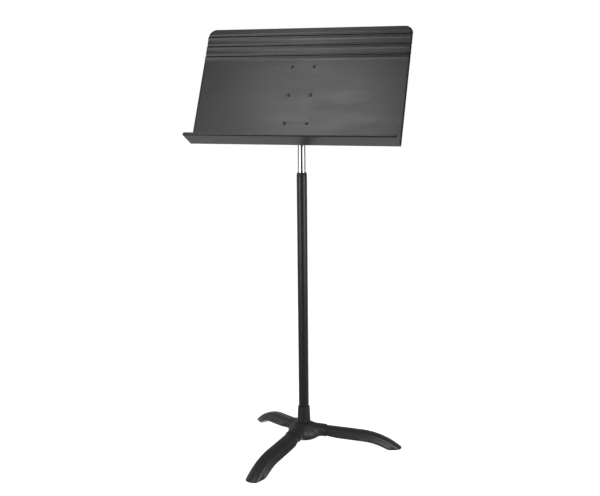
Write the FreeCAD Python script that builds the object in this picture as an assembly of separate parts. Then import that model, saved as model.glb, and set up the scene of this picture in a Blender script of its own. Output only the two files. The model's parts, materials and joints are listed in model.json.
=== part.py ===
"""Free-standing music stand: a folded sheet desk on a tilting head, a chromed mast that slides and
turns in a fixed column tube, and a cast three-way hub with bent oval legs.

Row frame in millimetres: +Z up along the column axis, Z = 0 on the floor, the desk faces -Y and its
width runs along X. At rest the desk leans back by DESK_TILT and its pivot stands at PIVOT_HEIGHT.
"""

import math
import os

import FreeCAD
import Part

V = FreeCAD.Vector
X_AXIS, Y_AXIS, Z_AXIS = V(1, 0, 0), V(0, 1, 0), V(0, 0, 1)

# ---- desk: one folded sheet ---------------------------------------------------------------------
DESK_WIDTH = 508.0
DESK_HEIGHT = 303.0
DESK_SHEET = 1.5
DESK_CORNER_RADIUS = 20.0
LEDGE_DEPTH = 55.0
LEDGE_BEND_RADIUS = 2.0
LIP_HEIGHT = 6.5
LIP_BEND_RADIUS = 1.2
LIP_END_RADIUS = 4.8
RIB_COUNT = 3
RIB_PITCH = 26.4
TOP_RIB_BELOW_EDGE = 20.0       # from the top edge down to the middle of the highest rib
RIB_RISE = 3.5
RIB_LOWER_SLOPE = 7.0           # height of the gentle lower side of a rib
RIB_UPPER_SLOPE = 4.0           # height of the steep upper side of a rib
RIB_CREST_RADIUS = 2.3
RIB_FOOT_RADIUS = 3.0

# ---- tilt of the desk on the mast ---------------------------------------------------------------
DESK_TILT = 27.1                # degrees back from upright, at rest
PIVOT_HEIGHT = 831.0            # above the floor, at rest
PIVOT_UP = 90.5                 # pivot above the ledge underside, along the sheet
PIVOT_DEPTH = 33.3              # pivot behind the front of the sheet
PIVOT_RADIUS = 4.0
RUNNING_GAP = 0.06              # radial clearance of a shaft that turns or slides in a hole
FACE_GAP = 0.1                  # axial clearance between flat faces that rub

# ---- bracket on the back of the desk ------------------------------------------------------------
BRACKET_SHEET = 2.0
BRACKET_LOW = 40.0
BRACKET_HIGH = 214.0
BRACKET_END_DEPTH = 8.0
BRACKET_HALF_WIDTH = 38.0
BRACKET_CORNER_RADIUS = 8.0
BRACKET_BEND_RADIUS = 2.0
EAR_RADIUS = 14.0
WEB_ABOVE_PIVOT = 28.0
RIVET_ACROSS = 54.0
RIVET_ROWS = (54.5, 127.0, 199.5)
RIVET_SHANK_RADIUS = 2.4
RIVET_HEAD_RADIUS = 4.3
RIVET_HEAD_HEIGHT = 1.9
RIVET_TAIL_RADIUS = 3.6
RIVET_TAIL_HEIGHT = 1.5

# ---- tilt head and its bolt ---------------------------------------------------------------------
HEAD_CHEEK = 2.5                # metal beside the mast, square to the pivot
HEAD_SOCKET_WALL = 2.7
KNUCKLE_RADIUS = 13.0
HEAD_SOCKET_LENGTH = 36.0       # from the pivot down to the mouth
HEAD_SOCKET_FLOOR = 12.0        # from the pivot down to the top of the mast
HEAD_CHAMFER = 1.0
HEAD_PIN_RADIUS = 2.0
HEAD_PIN_BORE = 1.1             # radius of the hollow in the rolled pin
HEAD_PIN_SLIT = 0.8
HEAD_PIN_BELOW_PIVOT = 26.0
FRICTION_WASHER_THICKNESS = 1.5
FRICTION_WASHER_RADIUS = 11.0
FLAT_WASHER_THICKNESS = 1.6
FLAT_WASHER_RADIUS = 8.0
WASHER_HOLE_GAP = 0.2
BOLT_HEAD_FLATS = 13.0
BOLT_HEAD_HEIGHT = 5.3
BOLT_CHAMFER = 0.75
NUT_HEIGHT = 6.5
NUT_COLLAR_HEIGHT = 1.6
NUT_COLLAR_STEP = 1.0
SPRING_WASHER_COUNT = 2
SPRING_WASHER_SHEET = 0.8
SPRING_WASHER_RISE = 0.6
BOLT_TIP_PAST_NUT = 1.8

# ---- column and mast ----------------------------------------------------------------------------
COLUMN_WALL = 1.2
CLUTCH_ROOM = 1.8               # between the mast and the column's bore
COLUMN_TOP = 687.5
COLUMN_FOOT = 44.0              # where the tube stands on the floor of the hub's bore
COLUMN_SWAGE = 0.3              # how much smaller in radius the column's lower end is
MAST_RADIUS = 9.5
MAST_WALL = 1.2
MAST_FOOT = 168.0               # height of the mast's lower end, at rest
CAP_HEIGHT = 8.5
CAP_TAPER = 1.3                 # how much the cap draws in from the column's radius
CAP_BAND = 2.5                  # the straight lower part of the cap
CAP_CHAMFER = 1.0
CAP_SPIGOT_LENGTH = 24.0
PLUG_LENGTH = 26.0
SLEEVE_TOP = 110.7
SLEEVE_TOP_WALL = 2.4
SLEEVE_FOOT_WALL = 4.1
SLEEVE_RIM = 2.6
SLEEVE_STEP = 0.6               # how far the rim stands out, and its chamfers

# ---- friction clutch on the lower end of the mast -----------------------------------------------
CLUTCH_LENGTH = 60.0
CLUTCH_FINGERS = 6
CLUTCH_SLIT_WIDTH = 1.6
CLUTCH_SLIT_LENGTH = 44.0
CLUTCH_SPRING_THICKNESS = 0.5
CLUTCH_SPRING_HEIGHT = 22.0
CLUTCH_SPRING_FOOT = 6.0
CLUTCH_SPRING_SPLIT = 3.0
CLUTCH_END_GAP = 0.2
CLUTCH_SIDE_GAP = 0.3            # between the column's bore and what only passes through it
CLUTCH_FLANGE_THICKNESS = 3.0
CLUTCH_SPIGOT_LENGTH = 18.0
PLUG_PIN_RADIUS = 1.5
PLUG_PIN_SHORT = 0.2            # how far the pin's ends lie below the mast's surface
RETAINING_RING_THICKNESS = 1.2

# ---- hub and legs -------------------------------------------------------------------------------
LEG_NAMES = ("front", "right", "rear")
FRONT_LEG_TURN = -104.5         # degrees from +X to the front leg, seen from above
LEG_WIDTH = 38.5
LEG_THICKNESS = 26.6
LEG_CORNER_RADIUS = 11.0
LEG_WALL = 2.0
LEG_SLOPE = 7.5                 # degrees down along the straight part
LEG_INNER_END = 33.0            # radius of the leg's inner end
LEG_BEND_START = 142.0          # radius where the bend to the floor starts
LEG_BEND_RADIUS = 180.0
LEG_AXIS_AT = (80.0, 41.9)      # a point of the leg's centreline: radius, height
LEG_BEND_SWEEP = 50.0           # degrees of bend, more than the floor leaves
PAD_PROUD = 1.6                 # the rubber pad below the end of the tube
PAD_HEIGHT = 9.0
SOCKET_GAP = 0.15
SOCKET_WALL = 2.0
SOCKET_RIM_RADIUS = 1.0
SOCKET_MOUTH = 55.5             # radius of the socket's mouth
HUB_TOP = 69.0
HUB_FOOT = 32.5
HUB_RADIUS = 41.5
HUB_TOP_WALL = 6.5              # metal round the column at the hub's top
HUB_EDGE_RADIUS = 9.0
HUB_SHOULDER_RADIUS = 16.0
HUB_POCKET_RADIUS = 22.0
HUB_POCKET_HEIGHT = 4.5
HUB_POCKET_SLOPE = 2.0
HUB_PROFILE_STEP = 10.0         # degrees between the points of the hub's rounded profile
HUB_BOLT_RADIUS = 4.0
HUB_BOLT_LENGTH = 34.0
HUB_WASHER_RADIUS = 12.0
HUB_WASHER_THICKNESS = 2.0
LEG_SCREW_AT = 47.0             # radius of the screw from the column axis
LEG_SCREW_RADIUS = 3.0
LEG_SCREW_HEAD_RADIUS = 5.2
LEG_SCREW_HEAD_HEIGHT = 3.0
LEG_SCREW_SPOT_DEPTH = 0.4
LEG_SCREW_SPOT_GAP = 0.4
LEG_SCREW_KEY_FLATS = 4.0
LEG_SCREW_KEY_DEPTH = 1.6
LEG_SCREW_PAST_NUT = 1.0
LEG_NUT_FLATS = 10.0
LEG_NUT_HEIGHT = 5.0

# ---- values worked out from the sizes above -----------------------------------------------------
MAST_BORE = MAST_RADIUS - MAST_WALL
COLUMN_BORE = MAST_RADIUS + CLUTCH_ROOM
COLUMN_RADIUS = COLUMN_BORE + COLUMN_WALL
COLUMN_SPIGOT_RADIUS = COLUMN_RADIUS - COLUMN_SWAGE
CAP_TOP_RADIUS = COLUMN_RADIUS - CAP_TAPER
SLEEVE_TOP_RADIUS = COLUMN_RADIUS + SLEEVE_TOP_WALL
SLEEVE_FOOT_RADIUS = COLUMN_RADIUS + SLEEVE_FOOT_WALL
HUB_TOP_RADIUS = COLUMN_RADIUS + HUB_TOP_WALL
HEAD_HALF_WIDTH = MAST_RADIUS + HEAD_CHEEK
HEAD_SOCKET_RADIUS = MAST_RADIUS + HEAD_SOCKET_WALL
CHANNEL_HALF = HEAD_HALF_WIDTH + FRICTION_WASHER_THICKNESS + 2 * FACE_GAP
CHANNEL_OUTER = CHANNEL_HALF + BRACKET_SHEET
MAST_TOP = PIVOT_HEIGHT - HEAD_SOCKET_FLOOR
LEG_TURNS = [FRONT_LEG_TURN + 360.0 / len(LEG_NAMES) * i for i in range(len(LEG_NAMES))]


# ---- small tools --------------------------------------------------------------------------------
def rod(radius, length, at=V(0, 0, 0), along=Z_AXIS):
    return Part.makeCylinder(radius, length, at, along)


def tube(outer, inner, length, at=V(0, 0, 0), along=Z_AXIS):
    return rod(outer, length, at, along).cut(rod(inner, length, at, along))


def block(low, high):
    size = high - low
    return Part.makeBox(size.x, size.y, size.z, low)


def hexagon(flats, height, at, along):
    """A hexagonal prism, its flats that far apart."""
    corner = flats / math.sqrt(3)
    points = [V(corner * math.cos(math.radians(60 * i)), corner * math.sin(math.radians(60 * i)), 0)
              for i in range(6)]
    prism = Part.Face(Part.makePolygon(points + points[:1])).extrude(V(0, 0, height))
    prism.Placement = FreeCAD.Placement(at, FreeCAD.Rotation(Z_AXIS, along))
    return prism


def bolt_hexagon(height, at, along):
    """A hexagon for a spanner, the corners of its first face turned off at 30 degrees."""
    corner = BOLT_HEAD_FLATS / math.sqrt(3)
    face_radius = corner - BOLT_CHAMFER * math.tan(math.radians(60))
    trim = turned([(0, 0), (face_radius, 0), (corner, BOLT_CHAMFER), (corner, height), (0, height)],
                  at, along)
    return hexagon(BOLT_HEAD_FLATS, height, at, along).common(trim)


def turned(points, at=V(0, 0, 0), along=Z_AXIS):
    """A solid of revolution about Z from (radius, height) points, stood at a place along a direction."""
    wire = Part.makePolygon([V(r, 0, z) for r, z in points + points[:1]])
    solid = Part.Face(wire).revolve(V(0, 0, 0), Z_AXIS, 360)
    solid.Placement = FreeCAD.Placement(at, FreeCAD.Rotation(Z_AXIS, along))
    return solid


def rounded_plate(width, height, radius, thickness):
    """A plate centred on the origin in X and Z, its corners rounded, its thickness along +Y."""
    half_w, half_h = width / 2, height / 2
    plate = block(V(-half_w, 0, -half_h), V(half_w, thickness, half_h))
    corners = [e for e in plate.Edges
               if abs(e.Vertexes[0].Point.x - e.Vertexes[-1].Point.x) < 1e-6
               and abs(e.Vertexes[0].Point.z - e.Vertexes[-1].Point.z) < 1e-6]
    return plate.makeFillet(radius, corners)


def strip_face(points, radii, thickness):
    """The section of a folded sheet in the YZ plane. The path (y, z) is one surface of the sheet,
    rounded at its inner points, and the sheet lies to the right of it."""
    steps = [V(0, b[0] - a[0], b[1] - a[1]).normalize() for a, b in zip(points, points[1:])]
    near, far = [V(0, *points[0])], [V(0, *points[0]) + right_of(steps[0]) * thickness]
    near_edges, far_edges = [], []
    for i, radius in enumerate(radii, start=1):
        corner, before, after = V(0, *points[i]), steps[i - 1], steps[i]
        left_turn = before.y * after.z - before.z * after.y > 0
        tangent = radius * math.tan(before.getAngle(after) / 2)
        start, end = corner - before * tangent, corner + after * tangent
        side = right_of(before) * (-1 if left_turn else 1)
        centre = start + side * radius
        middle = (corner - centre).normalize()
        other = radius + thickness if left_turn else radius - thickness
        for edges, last, r in ((near_edges, near, radius), (far_edges, far, other)):
            a, b = centre + (start - centre) * (r / radius), centre + (end - centre) * (r / radius)
            edges.append(Part.LineSegment(last[-1], a).toShape())
            edges.append(Part.Arc(a, centre + middle * r, b).toShape())
            last.append(b)
    end_near = V(0, *points[-1])
    end_far = end_near + right_of(steps[-1]) * thickness
    near_edges.append(Part.LineSegment(near[-1], end_near).toShape())
    far_edges.append(Part.LineSegment(far[-1], end_far).toShape())
    caps = [Part.LineSegment(near[0], far[0]).toShape(), Part.LineSegment(end_near, end_far).toShape()]
    wires = Part.sortEdges(near_edges + far_edges + caps)
    return Part.Face(Part.Wire(wires[0]))


def right_of(step):
    return V(0, step.z, -step.y)


def on_desk(shape):
    """Carries a shape from the desk's own frame to the stand. In the desk's frame Z runs up the
    sheet, Y runs backwards, and the origin is at the ledge's underside on the front of the sheet."""
    placed = shape.copy()
    placed.rotate(V(0, PIVOT_DEPTH, PIVOT_UP), X_AXIS, -DESK_TILT)
    placed.translate(V(0, -PIVOT_DEPTH, PIVOT_HEIGHT - PIVOT_UP))
    return placed


def on_leg(shape, turn):
    """Carries a shape from a leg's own frame, which runs out along +X, to its place round the hub."""
    placed = shape.copy()
    placed.rotate(V(0, 0, 0), Z_AXIS, turn)
    return placed


# ---- desk ---------------------------------------------------------------------------------------
def desk_profile():
    """Section of the folded sheet, from the tip of the lip to the top edge."""
    inner_lip = -LEDGE_DEPTH + DESK_SHEET
    points = [(inner_lip, LIP_HEIGHT), (inner_lip, DESK_SHEET), (0, DESK_SHEET)]
    radii = [LIP_BEND_RADIUS, LEDGE_BEND_RADIUS]
    for i in reversed(range(RIB_COUNT)):
        crest = DESK_HEIGHT - TOP_RIB_BELOW_EDGE - RIB_PITCH * i - RIB_UPPER_SLOPE / 2
        points += [(0, crest - RIB_LOWER_SLOPE), (-RIB_RISE, crest), (0, crest + RIB_UPPER_SLOPE)]
        radii += [RIB_FOOT_RADIUS, RIB_CREST_RADIUS, RIB_FOOT_RADIUS]
    points.append((0, DESK_HEIGHT))
    return strip_face(points, radii, DESK_SHEET)


def rivet_places():
    return [V(side * RIVET_ACROSS / 2, 0, z) for z in RIVET_ROWS for side in (-1, 1)]


def desk_panel():
    half = DESK_WIDTH / 2
    section = desk_profile()
    section.translate(V(-half, 0, 0))
    sheet = section.extrude(V(DESK_WIDTH, 0, 0))
    lip_part = rounded_plate(DESK_WIDTH, 2 * LIP_HEIGHT, LIP_END_RADIUS, DESK_SHEET)
    lip_part.translate(V(0, -LEDGE_DEPTH, 0))
    desk_part = rounded_plate(DESK_WIDTH, 2 * DESK_HEIGHT, DESK_CORNER_RADIUS, LEDGE_DEPTH + DESK_SHEET)
    desk_part.translate(V(0, DESK_SHEET - LEDGE_DEPTH, 0))
    sheet = sheet.common(lip_part.fuse(desk_part))
    for place in rivet_places():
        sheet = sheet.cut(rod(RIVET_SHANK_RADIUS, 4 * DESK_SHEET, place - Y_AXIS * DESK_SHEET, Y_AXIS))
    return on_desk(sheet)


def desk_rivets():
    grip = DESK_SHEET + BRACKET_SHEET
    rivets = []
    for place in rivet_places():
        dome_radius = (RIVET_HEAD_RADIUS ** 2 + RIVET_HEAD_HEIGHT ** 2) / (2 * RIVET_HEAD_HEIGHT)
        centre = place + Y_AXIS * (dome_radius - RIVET_HEAD_HEIGHT)
        head = Part.makeSphere(dome_radius, centre).common(
            rod(RIVET_HEAD_RADIUS + 1, RIVET_HEAD_HEIGHT, place - Y_AXIS * RIVET_HEAD_HEIGHT, Y_AXIS))
        shank = rod(RIVET_SHANK_RADIUS, grip, place, Y_AXIS)
        tail = turned([(0, 0), (RIVET_TAIL_RADIUS, 0), (RIVET_TAIL_RADIUS, RIVET_TAIL_HEIGHT / 2),
                       (RIVET_TAIL_RADIUS - RIVET_TAIL_HEIGHT / 2, RIVET_TAIL_HEIGHT),
                       (0, RIVET_TAIL_HEIGHT)], place + Y_AXIS * grip, Y_AXIS)
        rivets.append(on_desk(head.fuse(shank).fuse(tail).removeSplitter()))
    return Part.makeCompound([s for r in rivets for s in r.Solids])


def tangent_point(point, centre, radius, upper):
    """Where the line from a point (y, z) touches a circle, on its upper or its lower side."""
    dy, dz = centre[0] - point[0], centre[1] - point[1]
    distance = math.hypot(dy, dz)
    towards, spread = math.atan2(dz, dy), math.asin(radius / distance)
    angle = towards + spread if upper else towards - spread
    length = math.sqrt(distance ** 2 - radius ** 2)
    return (point[0] + length * math.cos(angle), point[1] + length * math.sin(angle))


def channel_prism(inset, overrun):
    """The bracket's channel as a full prism: its side outline moved in by inset, and its ends by
    -overrun, wide enough to leave walls of that inset."""
    back = DESK_SHEET
    low, high = BRACKET_LOW - overrun, BRACKET_HIGH + overrun
    depth = back + BRACKET_END_DEPTH - inset
    centre, radius = (PIVOT_DEPTH, PIVOT_UP), EAR_RADIUS - inset
    lower = tangent_point((depth, BRACKET_LOW), centre, radius, upper=False)
    upper = tangent_point((depth, BRACKET_HIGH), centre, radius, upper=True)
    start = back - overrun
    far = (centre[0] + radius, centre[1])
    corners = [(start, low), (depth, low), (depth, BRACKET_LOW), lower]
    edges = [Part.LineSegment(V(0, *a), V(0, *b)).toShape()
             for a, b in zip(corners, corners[1:]) if a != b]
    edges.append(Part.Arc(V(0, *lower), V(0, *far), V(0, *upper)).toShape())
    corners = [upper, (depth, BRACKET_HIGH), (depth, high), (start, high), (start, low)]
    edges += [Part.LineSegment(V(0, *a), V(0, *b)).toShape()
              for a, b in zip(corners, corners[1:]) if a != b]
    face = Part.Face(Part.Wire(Part.sortEdges(edges)[0]))
    half = CHANNEL_OUTER - inset
    face.translate(V(-half, 0, 0))
    return face.extrude(V(2 * half, 0, 0))


def desk_bracket():
    """A pressed channel with two riveting flanges. Its back is open round and below the pivot."""
    middle = (BRACKET_LOW + BRACKET_HIGH) / 2
    flange = rounded_plate(2 * BRACKET_HALF_WIDTH, BRACKET_HIGH - BRACKET_LOW, BRACKET_CORNER_RADIUS,
                           BRACKET_SHEET)
    flange.translate(V(0, DESK_SHEET, middle))
    shell = flange.fuse(channel_prism(0.0, 0.0)).removeSplitter()
    bends = [e for e in shell.Edges if is_bend(e)]
    shell = shell.makeFillet(BRACKET_BEND_RADIUS, bends)
    shell = shell.cut(channel_prism(BRACKET_SHEET, BRACKET_SHEET))
    shell = shell.cut(block(V(-CHANNEL_HALF, DESK_SHEET - 1, BRACKET_LOW - 1),
                            V(CHANNEL_HALF, PIVOT_DEPTH + 2 * EAR_RADIUS, PIVOT_UP + WEB_ABOVE_PIVOT)))
    shell = shell.cut(rod(PIVOT_RADIUS + RUNNING_GAP, 4 * CHANNEL_OUTER,
                          V(-2 * CHANNEL_OUTER, PIVOT_DEPTH, PIVOT_UP), X_AXIS))
    for place in rivet_places():
        shell = shell.cut(rod(RIVET_SHANK_RADIUS, 2 * BRACKET_SHEET, place + Y_AXIS, Y_AXIS))
    return on_desk(shell)


def is_bend(edge):
    """The straight inside corners where the bracket's walls leave its flanges."""
    a, b = edge.Vertexes[0].Point, edge.Vertexes[-1].Point
    return (abs(abs(a.x) - CHANNEL_OUTER) < 1e-3 and abs(a.x - b.x) < 1e-3
            and abs(a.y - DESK_SHEET - BRACKET_SHEET) < 1e-3 and abs(a.y - b.y) < 1e-3)


def pivot_point(x):
    return V(x, 0, PIVOT_HEIGHT)


def pivot_bolt():
    head_face = CHANNEL_OUTER + FLAT_WASHER_THICKNESS
    nut_far = nut_face() + NUT_HEIGHT + NUT_COLLAR_HEIGHT
    head = bolt_hexagon(BOLT_HEAD_HEIGHT, pivot_point(-head_face - BOLT_HEAD_HEIGHT), X_AXIS)
    length = head_face + nut_far + BOLT_TIP_PAST_NUT
    shank = turned([(0, 0), (PIVOT_RADIUS, 0), (PIVOT_RADIUS, length - BOLT_CHAMFER),
                    (PIVOT_RADIUS - BOLT_CHAMFER, length), (0, length)], pivot_point(-head_face), X_AXIS)
    return head.fuse(shank).removeSplitter()


def spring_stack():
    return SPRING_WASHER_COUNT * (SPRING_WASHER_SHEET + SPRING_WASHER_RISE)


def nut_face():
    return CHANNEL_OUTER + FLAT_WASHER_THICKNESS + spring_stack()


def pivot_nut():
    """A lock nut: a hexagon with the collar that holds its nylon ring."""
    body = bolt_hexagon(NUT_HEIGHT, pivot_point(nut_face() + NUT_HEIGHT), -X_AXIS)
    collar = rod(BOLT_HEAD_FLATS / 2 - NUT_COLLAR_STEP, NUT_COLLAR_HEIGHT,
                 pivot_point(nut_face() + NUT_HEIGHT), X_AXIS)
    hole = rod(PIVOT_RADIUS, NUT_HEIGHT + NUT_COLLAR_HEIGHT, pivot_point(nut_face()), X_AXIS)
    return body.fuse(collar).cut(hole).removeSplitter()


def pivot_washers():
    hole = PIVOT_RADIUS + WASHER_HOLE_GAP
    places = (-CHANNEL_OUTER - FLAT_WASHER_THICKNESS, CHANNEL_OUTER)
    return Part.makeCompound([tube(FLAT_WASHER_RADIUS, hole, FLAT_WASHER_THICKNESS, pivot_point(x), X_AXIS)
                              for x in places])


def spring_washers():
    """Coned washers stacked rim to rim, so the nut keeps a steady squeeze on the knuckle."""
    hole, rim = PIVOT_RADIUS + WASHER_HOLE_GAP, FLAT_WASHER_RADIUS - 0.5
    face = CHANNEL_OUTER + FLAT_WASHER_THICKNESS
    washers = []
    for i in range(SPRING_WASHER_COUNT):
        x = face + i * (SPRING_WASHER_SHEET + SPRING_WASHER_RISE)
        inner, outer = (SPRING_WASHER_RISE, 0) if i % 2 == 0 else (0, SPRING_WASHER_RISE)
        washers.append(turned([(hole, inner), (rim, outer), (rim, outer + SPRING_WASHER_SHEET),
                               (hole, inner + SPRING_WASHER_SHEET)], pivot_point(x), X_AXIS))
    return Part.makeCompound(washers)


def friction_washers():
    hole = PIVOT_RADIUS + RUNNING_GAP
    near = HEAD_HALF_WIDTH
    places = (-near - FRICTION_WASHER_THICKNESS, near)
    return Part.makeCompound([tube(FRICTION_WASHER_RADIUS, hole, FRICTION_WASHER_THICKNESS,
                                   pivot_point(x), X_AXIS) for x in places])


# ---- mast ---------------------------------------------------------------------------------------
def tilt_head():
    mouth = PIVOT_HEIGHT - HEAD_SOCKET_LENGTH
    knuckle = rod(KNUCKLE_RADIUS, 2 * HEAD_HALF_WIDTH, pivot_point(-HEAD_HALF_WIDTH), X_AXIS)
    socket = turned([(0, 0), (HEAD_SOCKET_RADIUS - HEAD_CHAMFER, 0), (HEAD_SOCKET_RADIUS, HEAD_CHAMFER),
                     (HEAD_SOCKET_RADIUS, HEAD_SOCKET_LENGTH), (0, HEAD_SOCKET_LENGTH)], V(0, 0, mouth))
    sides = block(V(-HEAD_HALF_WIDTH, -KNUCKLE_RADIUS, mouth),
                  V(HEAD_HALF_WIDTH, KNUCKLE_RADIUS, PIVOT_HEIGHT + KNUCKLE_RADIUS))
    head = knuckle.fuse(socket).common(sides)
    head = head.cut(rod(MAST_RADIUS, HEAD_SOCKET_LENGTH - HEAD_SOCKET_FLOOR, V(0, 0, mouth)))
    head = head.cut(rod(PIVOT_RADIUS + RUNNING_GAP, 4 * HEAD_HALF_WIDTH,
                        pivot_point(-2 * HEAD_HALF_WIDTH), X_AXIS))
    return head.cut(head_pin_rod()).removeSplitter()


def head_pin_rod():
    height = PIVOT_HEIGHT - HEAD_PIN_BELOW_PIVOT
    return rod(HEAD_PIN_RADIUS, 2 * HEAD_SOCKET_RADIUS, V(0, -HEAD_SOCKET_RADIUS, height), Y_AXIS)


def head_pin():
    """A rolled spring pin through the head and the mast, with its slit on top."""
    pin = head_pin_rod()
    height = PIVOT_HEIGHT - HEAD_PIN_BELOW_PIVOT
    reach = 2 * HEAD_SOCKET_RADIUS
    pin = pin.cut(rod(HEAD_PIN_BORE, 2 * reach, V(0, -reach, height), Y_AXIS))
    slit = block(V(-HEAD_PIN_SLIT / 2, -reach, height), V(HEAD_PIN_SLIT / 2, reach, height + reach))
    return pin.cut(slit)


def inner_tube():
    mast = tube(MAST_RADIUS, MAST_BORE, MAST_TOP - MAST_FOOT, V(0, 0, MAST_FOOT))
    return mast.cut(head_pin_rod()).cut(plug_pin())


def clutch_foot():
    """Height of the clutch sleeve's lower end: it runs on the mast just above the plug's flange."""
    return MAST_FOOT + CLUTCH_END_GAP


def clutch_plug():
    flange = rod(COLUMN_BORE - CLUTCH_SIDE_GAP, CLUTCH_FLANGE_THICKNESS,
                 V(0, 0, MAST_FOOT - CLUTCH_FLANGE_THICKNESS))
    spigot = rod(MAST_BORE, CLUTCH_SPIGOT_LENGTH, V(0, 0, MAST_FOOT))
    return flange.fuse(spigot).cut(plug_pin()).removeSplitter()


def plug_pin():
    height = MAST_FOOT + CLUTCH_SPIGOT_LENGTH / 2
    reach = MAST_RADIUS - PLUG_PIN_SHORT
    return rod(PLUG_PIN_RADIUS, 2 * reach, V(-reach, 0, height), X_AXIS)


def retaining_ring():
    """A split ring on the mast that keeps the clutch sleeve from riding up."""
    foot = clutch_foot() + CLUTCH_LENGTH + CLUTCH_END_GAP
    ring = tube(COLUMN_BORE - CLUTCH_SIDE_GAP, MAST_RADIUS, RETAINING_RING_THICKNESS, V(0, 0, foot))
    return ring.cut(spring_split(foot, RETAINING_RING_THICKNESS))


def spring_split(foot, height):
    """The gap in a split ring, on the +X side."""
    return block(V(0, -CLUTCH_SPRING_SPLIT / 2, foot), V(COLUMN_RADIUS, CLUTCH_SPRING_SPLIT / 2, foot + height))


# ---- clutch: slides with the mast and does not turn ---------------------------------------------
def spring_outer():
    return MAST_RADIUS + RUNNING_GAP + CLUTCH_SPRING_THICKNESS


def clutch_sleeve():
    foot = clutch_foot()
    sleeve = tube(COLUMN_BORE - RUNNING_GAP, MAST_RADIUS + RUNNING_GAP, CLUTCH_LENGTH, V(0, 0, foot))
    sleeve = sleeve.cut(rod(spring_outer(), CLUTCH_SPRING_HEIGHT, V(0, 0, foot + CLUTCH_SPRING_FOOT)))
    slit_foot = foot + CLUTCH_LENGTH - CLUTCH_SLIT_LENGTH
    for i in range(CLUTCH_FINGERS):
        slit = block(V(0, -CLUTCH_SLIT_WIDTH / 2, slit_foot),
                     V(COLUMN_RADIUS, CLUTCH_SLIT_WIDTH / 2, foot + CLUTCH_LENGTH + 1))
        slit.rotate(V(0, 0, 0), Z_AXIS, 360.0 / CLUTCH_FINGERS * (i + 0.5))
        sleeve = sleeve.cut(slit)
    return sleeve


def clutch_spring():
    foot = clutch_foot() + CLUTCH_SPRING_FOOT
    ring = tube(spring_outer(), MAST_RADIUS + RUNNING_GAP, CLUTCH_SPRING_HEIGHT, V(0, 0, foot))
    return ring.cut(spring_split(foot, CLUTCH_SPRING_HEIGHT))


# ---- column -------------------------------------------------------------------------------------
def outer_tube():
    body = turned([(COLUMN_BORE, COLUMN_FOOT), (COLUMN_SPIGOT_RADIUS, COLUMN_FOOT),
                   (COLUMN_SPIGOT_RADIUS, SLEEVE_TOP), (COLUMN_RADIUS, SLEEVE_TOP),
                   (COLUMN_RADIUS, COLUMN_TOP), (COLUMN_BORE, COLUMN_TOP)])
    return body


def top_bushing():
    top = COLUMN_TOP + CAP_HEIGHT
    bore = MAST_RADIUS + RUNNING_GAP
    return turned([(bore, COLUMN_TOP - CAP_SPIGOT_LENGTH), (COLUMN_BORE, COLUMN_TOP - CAP_SPIGOT_LENGTH),
                   (COLUMN_BORE, COLUMN_TOP), (COLUMN_RADIUS, COLUMN_TOP),
                   (COLUMN_RADIUS, COLUMN_TOP + CAP_BAND), (CAP_TOP_RADIUS, top - CAP_CHAMFER),
                   (CAP_TOP_RADIUS - CAP_CHAMFER / 2, top), (bore, top)])


def tube_plug():
    plug = rod(COLUMN_BORE, PLUG_LENGTH, V(0, 0, COLUMN_FOOT))
    return plug.cut(rod(HUB_BOLT_RADIUS, PLUG_LENGTH, V(0, 0, COLUMN_FOOT)))


def column_sleeve():
    """Moulded sleeve between the hub and the column, with a thin rim at its top."""
    rim_foot = SLEEVE_TOP - SLEEVE_RIM
    neck_radius = SLEEVE_TOP_RADIUS - SLEEVE_STEP
    return turned([(COLUMN_SPIGOT_RADIUS, HUB_TOP), (SLEEVE_FOOT_RADIUS, HUB_TOP),
                   (neck_radius, rim_foot - SLEEVE_STEP), (SLEEVE_TOP_RADIUS, rim_foot),
                   (SLEEVE_TOP_RADIUS, SLEEVE_TOP - SLEEVE_STEP), (neck_radius, SLEEVE_TOP),
                   (COLUMN_SPIGOT_RADIUS, SLEEVE_TOP)])


# ---- hub and legs -------------------------------------------------------------------------------
def leg_axis(radius):
    """Point of a leg's straight centreline, in the leg's own frame."""
    drop = math.tan(math.radians(LEG_SLOPE))
    return V(radius, 0, LEG_AXIS_AT[1] - (radius - LEG_AXIS_AT[0]) * drop)


def oval_wire(width, thickness, radius, at):
    """A rounded rectangle square to the leg's straight centreline, centred on a point of it."""
    half_w, half_t = width / 2, thickness / 2
    face = block(V(-1, -half_w, -half_t), V(0, half_w, half_t))
    edges = [e for e in face.Edges
             if abs(e.Vertexes[0].Point.y - e.Vertexes[-1].Point.y) < 1e-6
             and abs(e.Vertexes[0].Point.z - e.Vertexes[-1].Point.z) < 1e-6]
    solid = face.makeFillet(radius, edges)
    section = max(solid.Faces, key=lambda f: f.CenterOfMass.x)
    wire = section.OuterWire.copy()
    wire.rotate(V(0, 0, 0), Y_AXIS, LEG_SLOPE)
    wire.translate(at)
    return wire


def leg_sweep(inset):
    """The leg's solid form, its section moved in by inset, from the hub down past the floor."""
    slope = math.radians(LEG_SLOPE)
    start, bend = leg_axis(LEG_INNER_END), leg_axis(LEG_BEND_START)
    centre = bend - V(math.sin(slope), 0, math.cos(slope)) * LEG_BEND_RADIUS

    def on_bend(degrees):
        angle = slope + math.radians(degrees)
        return centre + V(math.sin(angle), 0, math.cos(angle)) * LEG_BEND_RADIUS

    path = Part.Wire([Part.LineSegment(start, bend).toShape(),
                      Part.Arc(bend, on_bend(LEG_BEND_SWEEP / 2), on_bend(LEG_BEND_SWEEP)).toShape()])
    section = oval_wire(LEG_WIDTH - 2 * inset, LEG_THICKNESS - 2 * inset, LEG_CORNER_RADIUS - inset, start)
    return path.makePipeShell([section], True, True)


def above(height):
    reach = 2 * (LEG_BEND_START + LEG_BEND_RADIUS)
    return block(V(-reach, -reach, height), V(reach, reach, height + reach))


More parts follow.
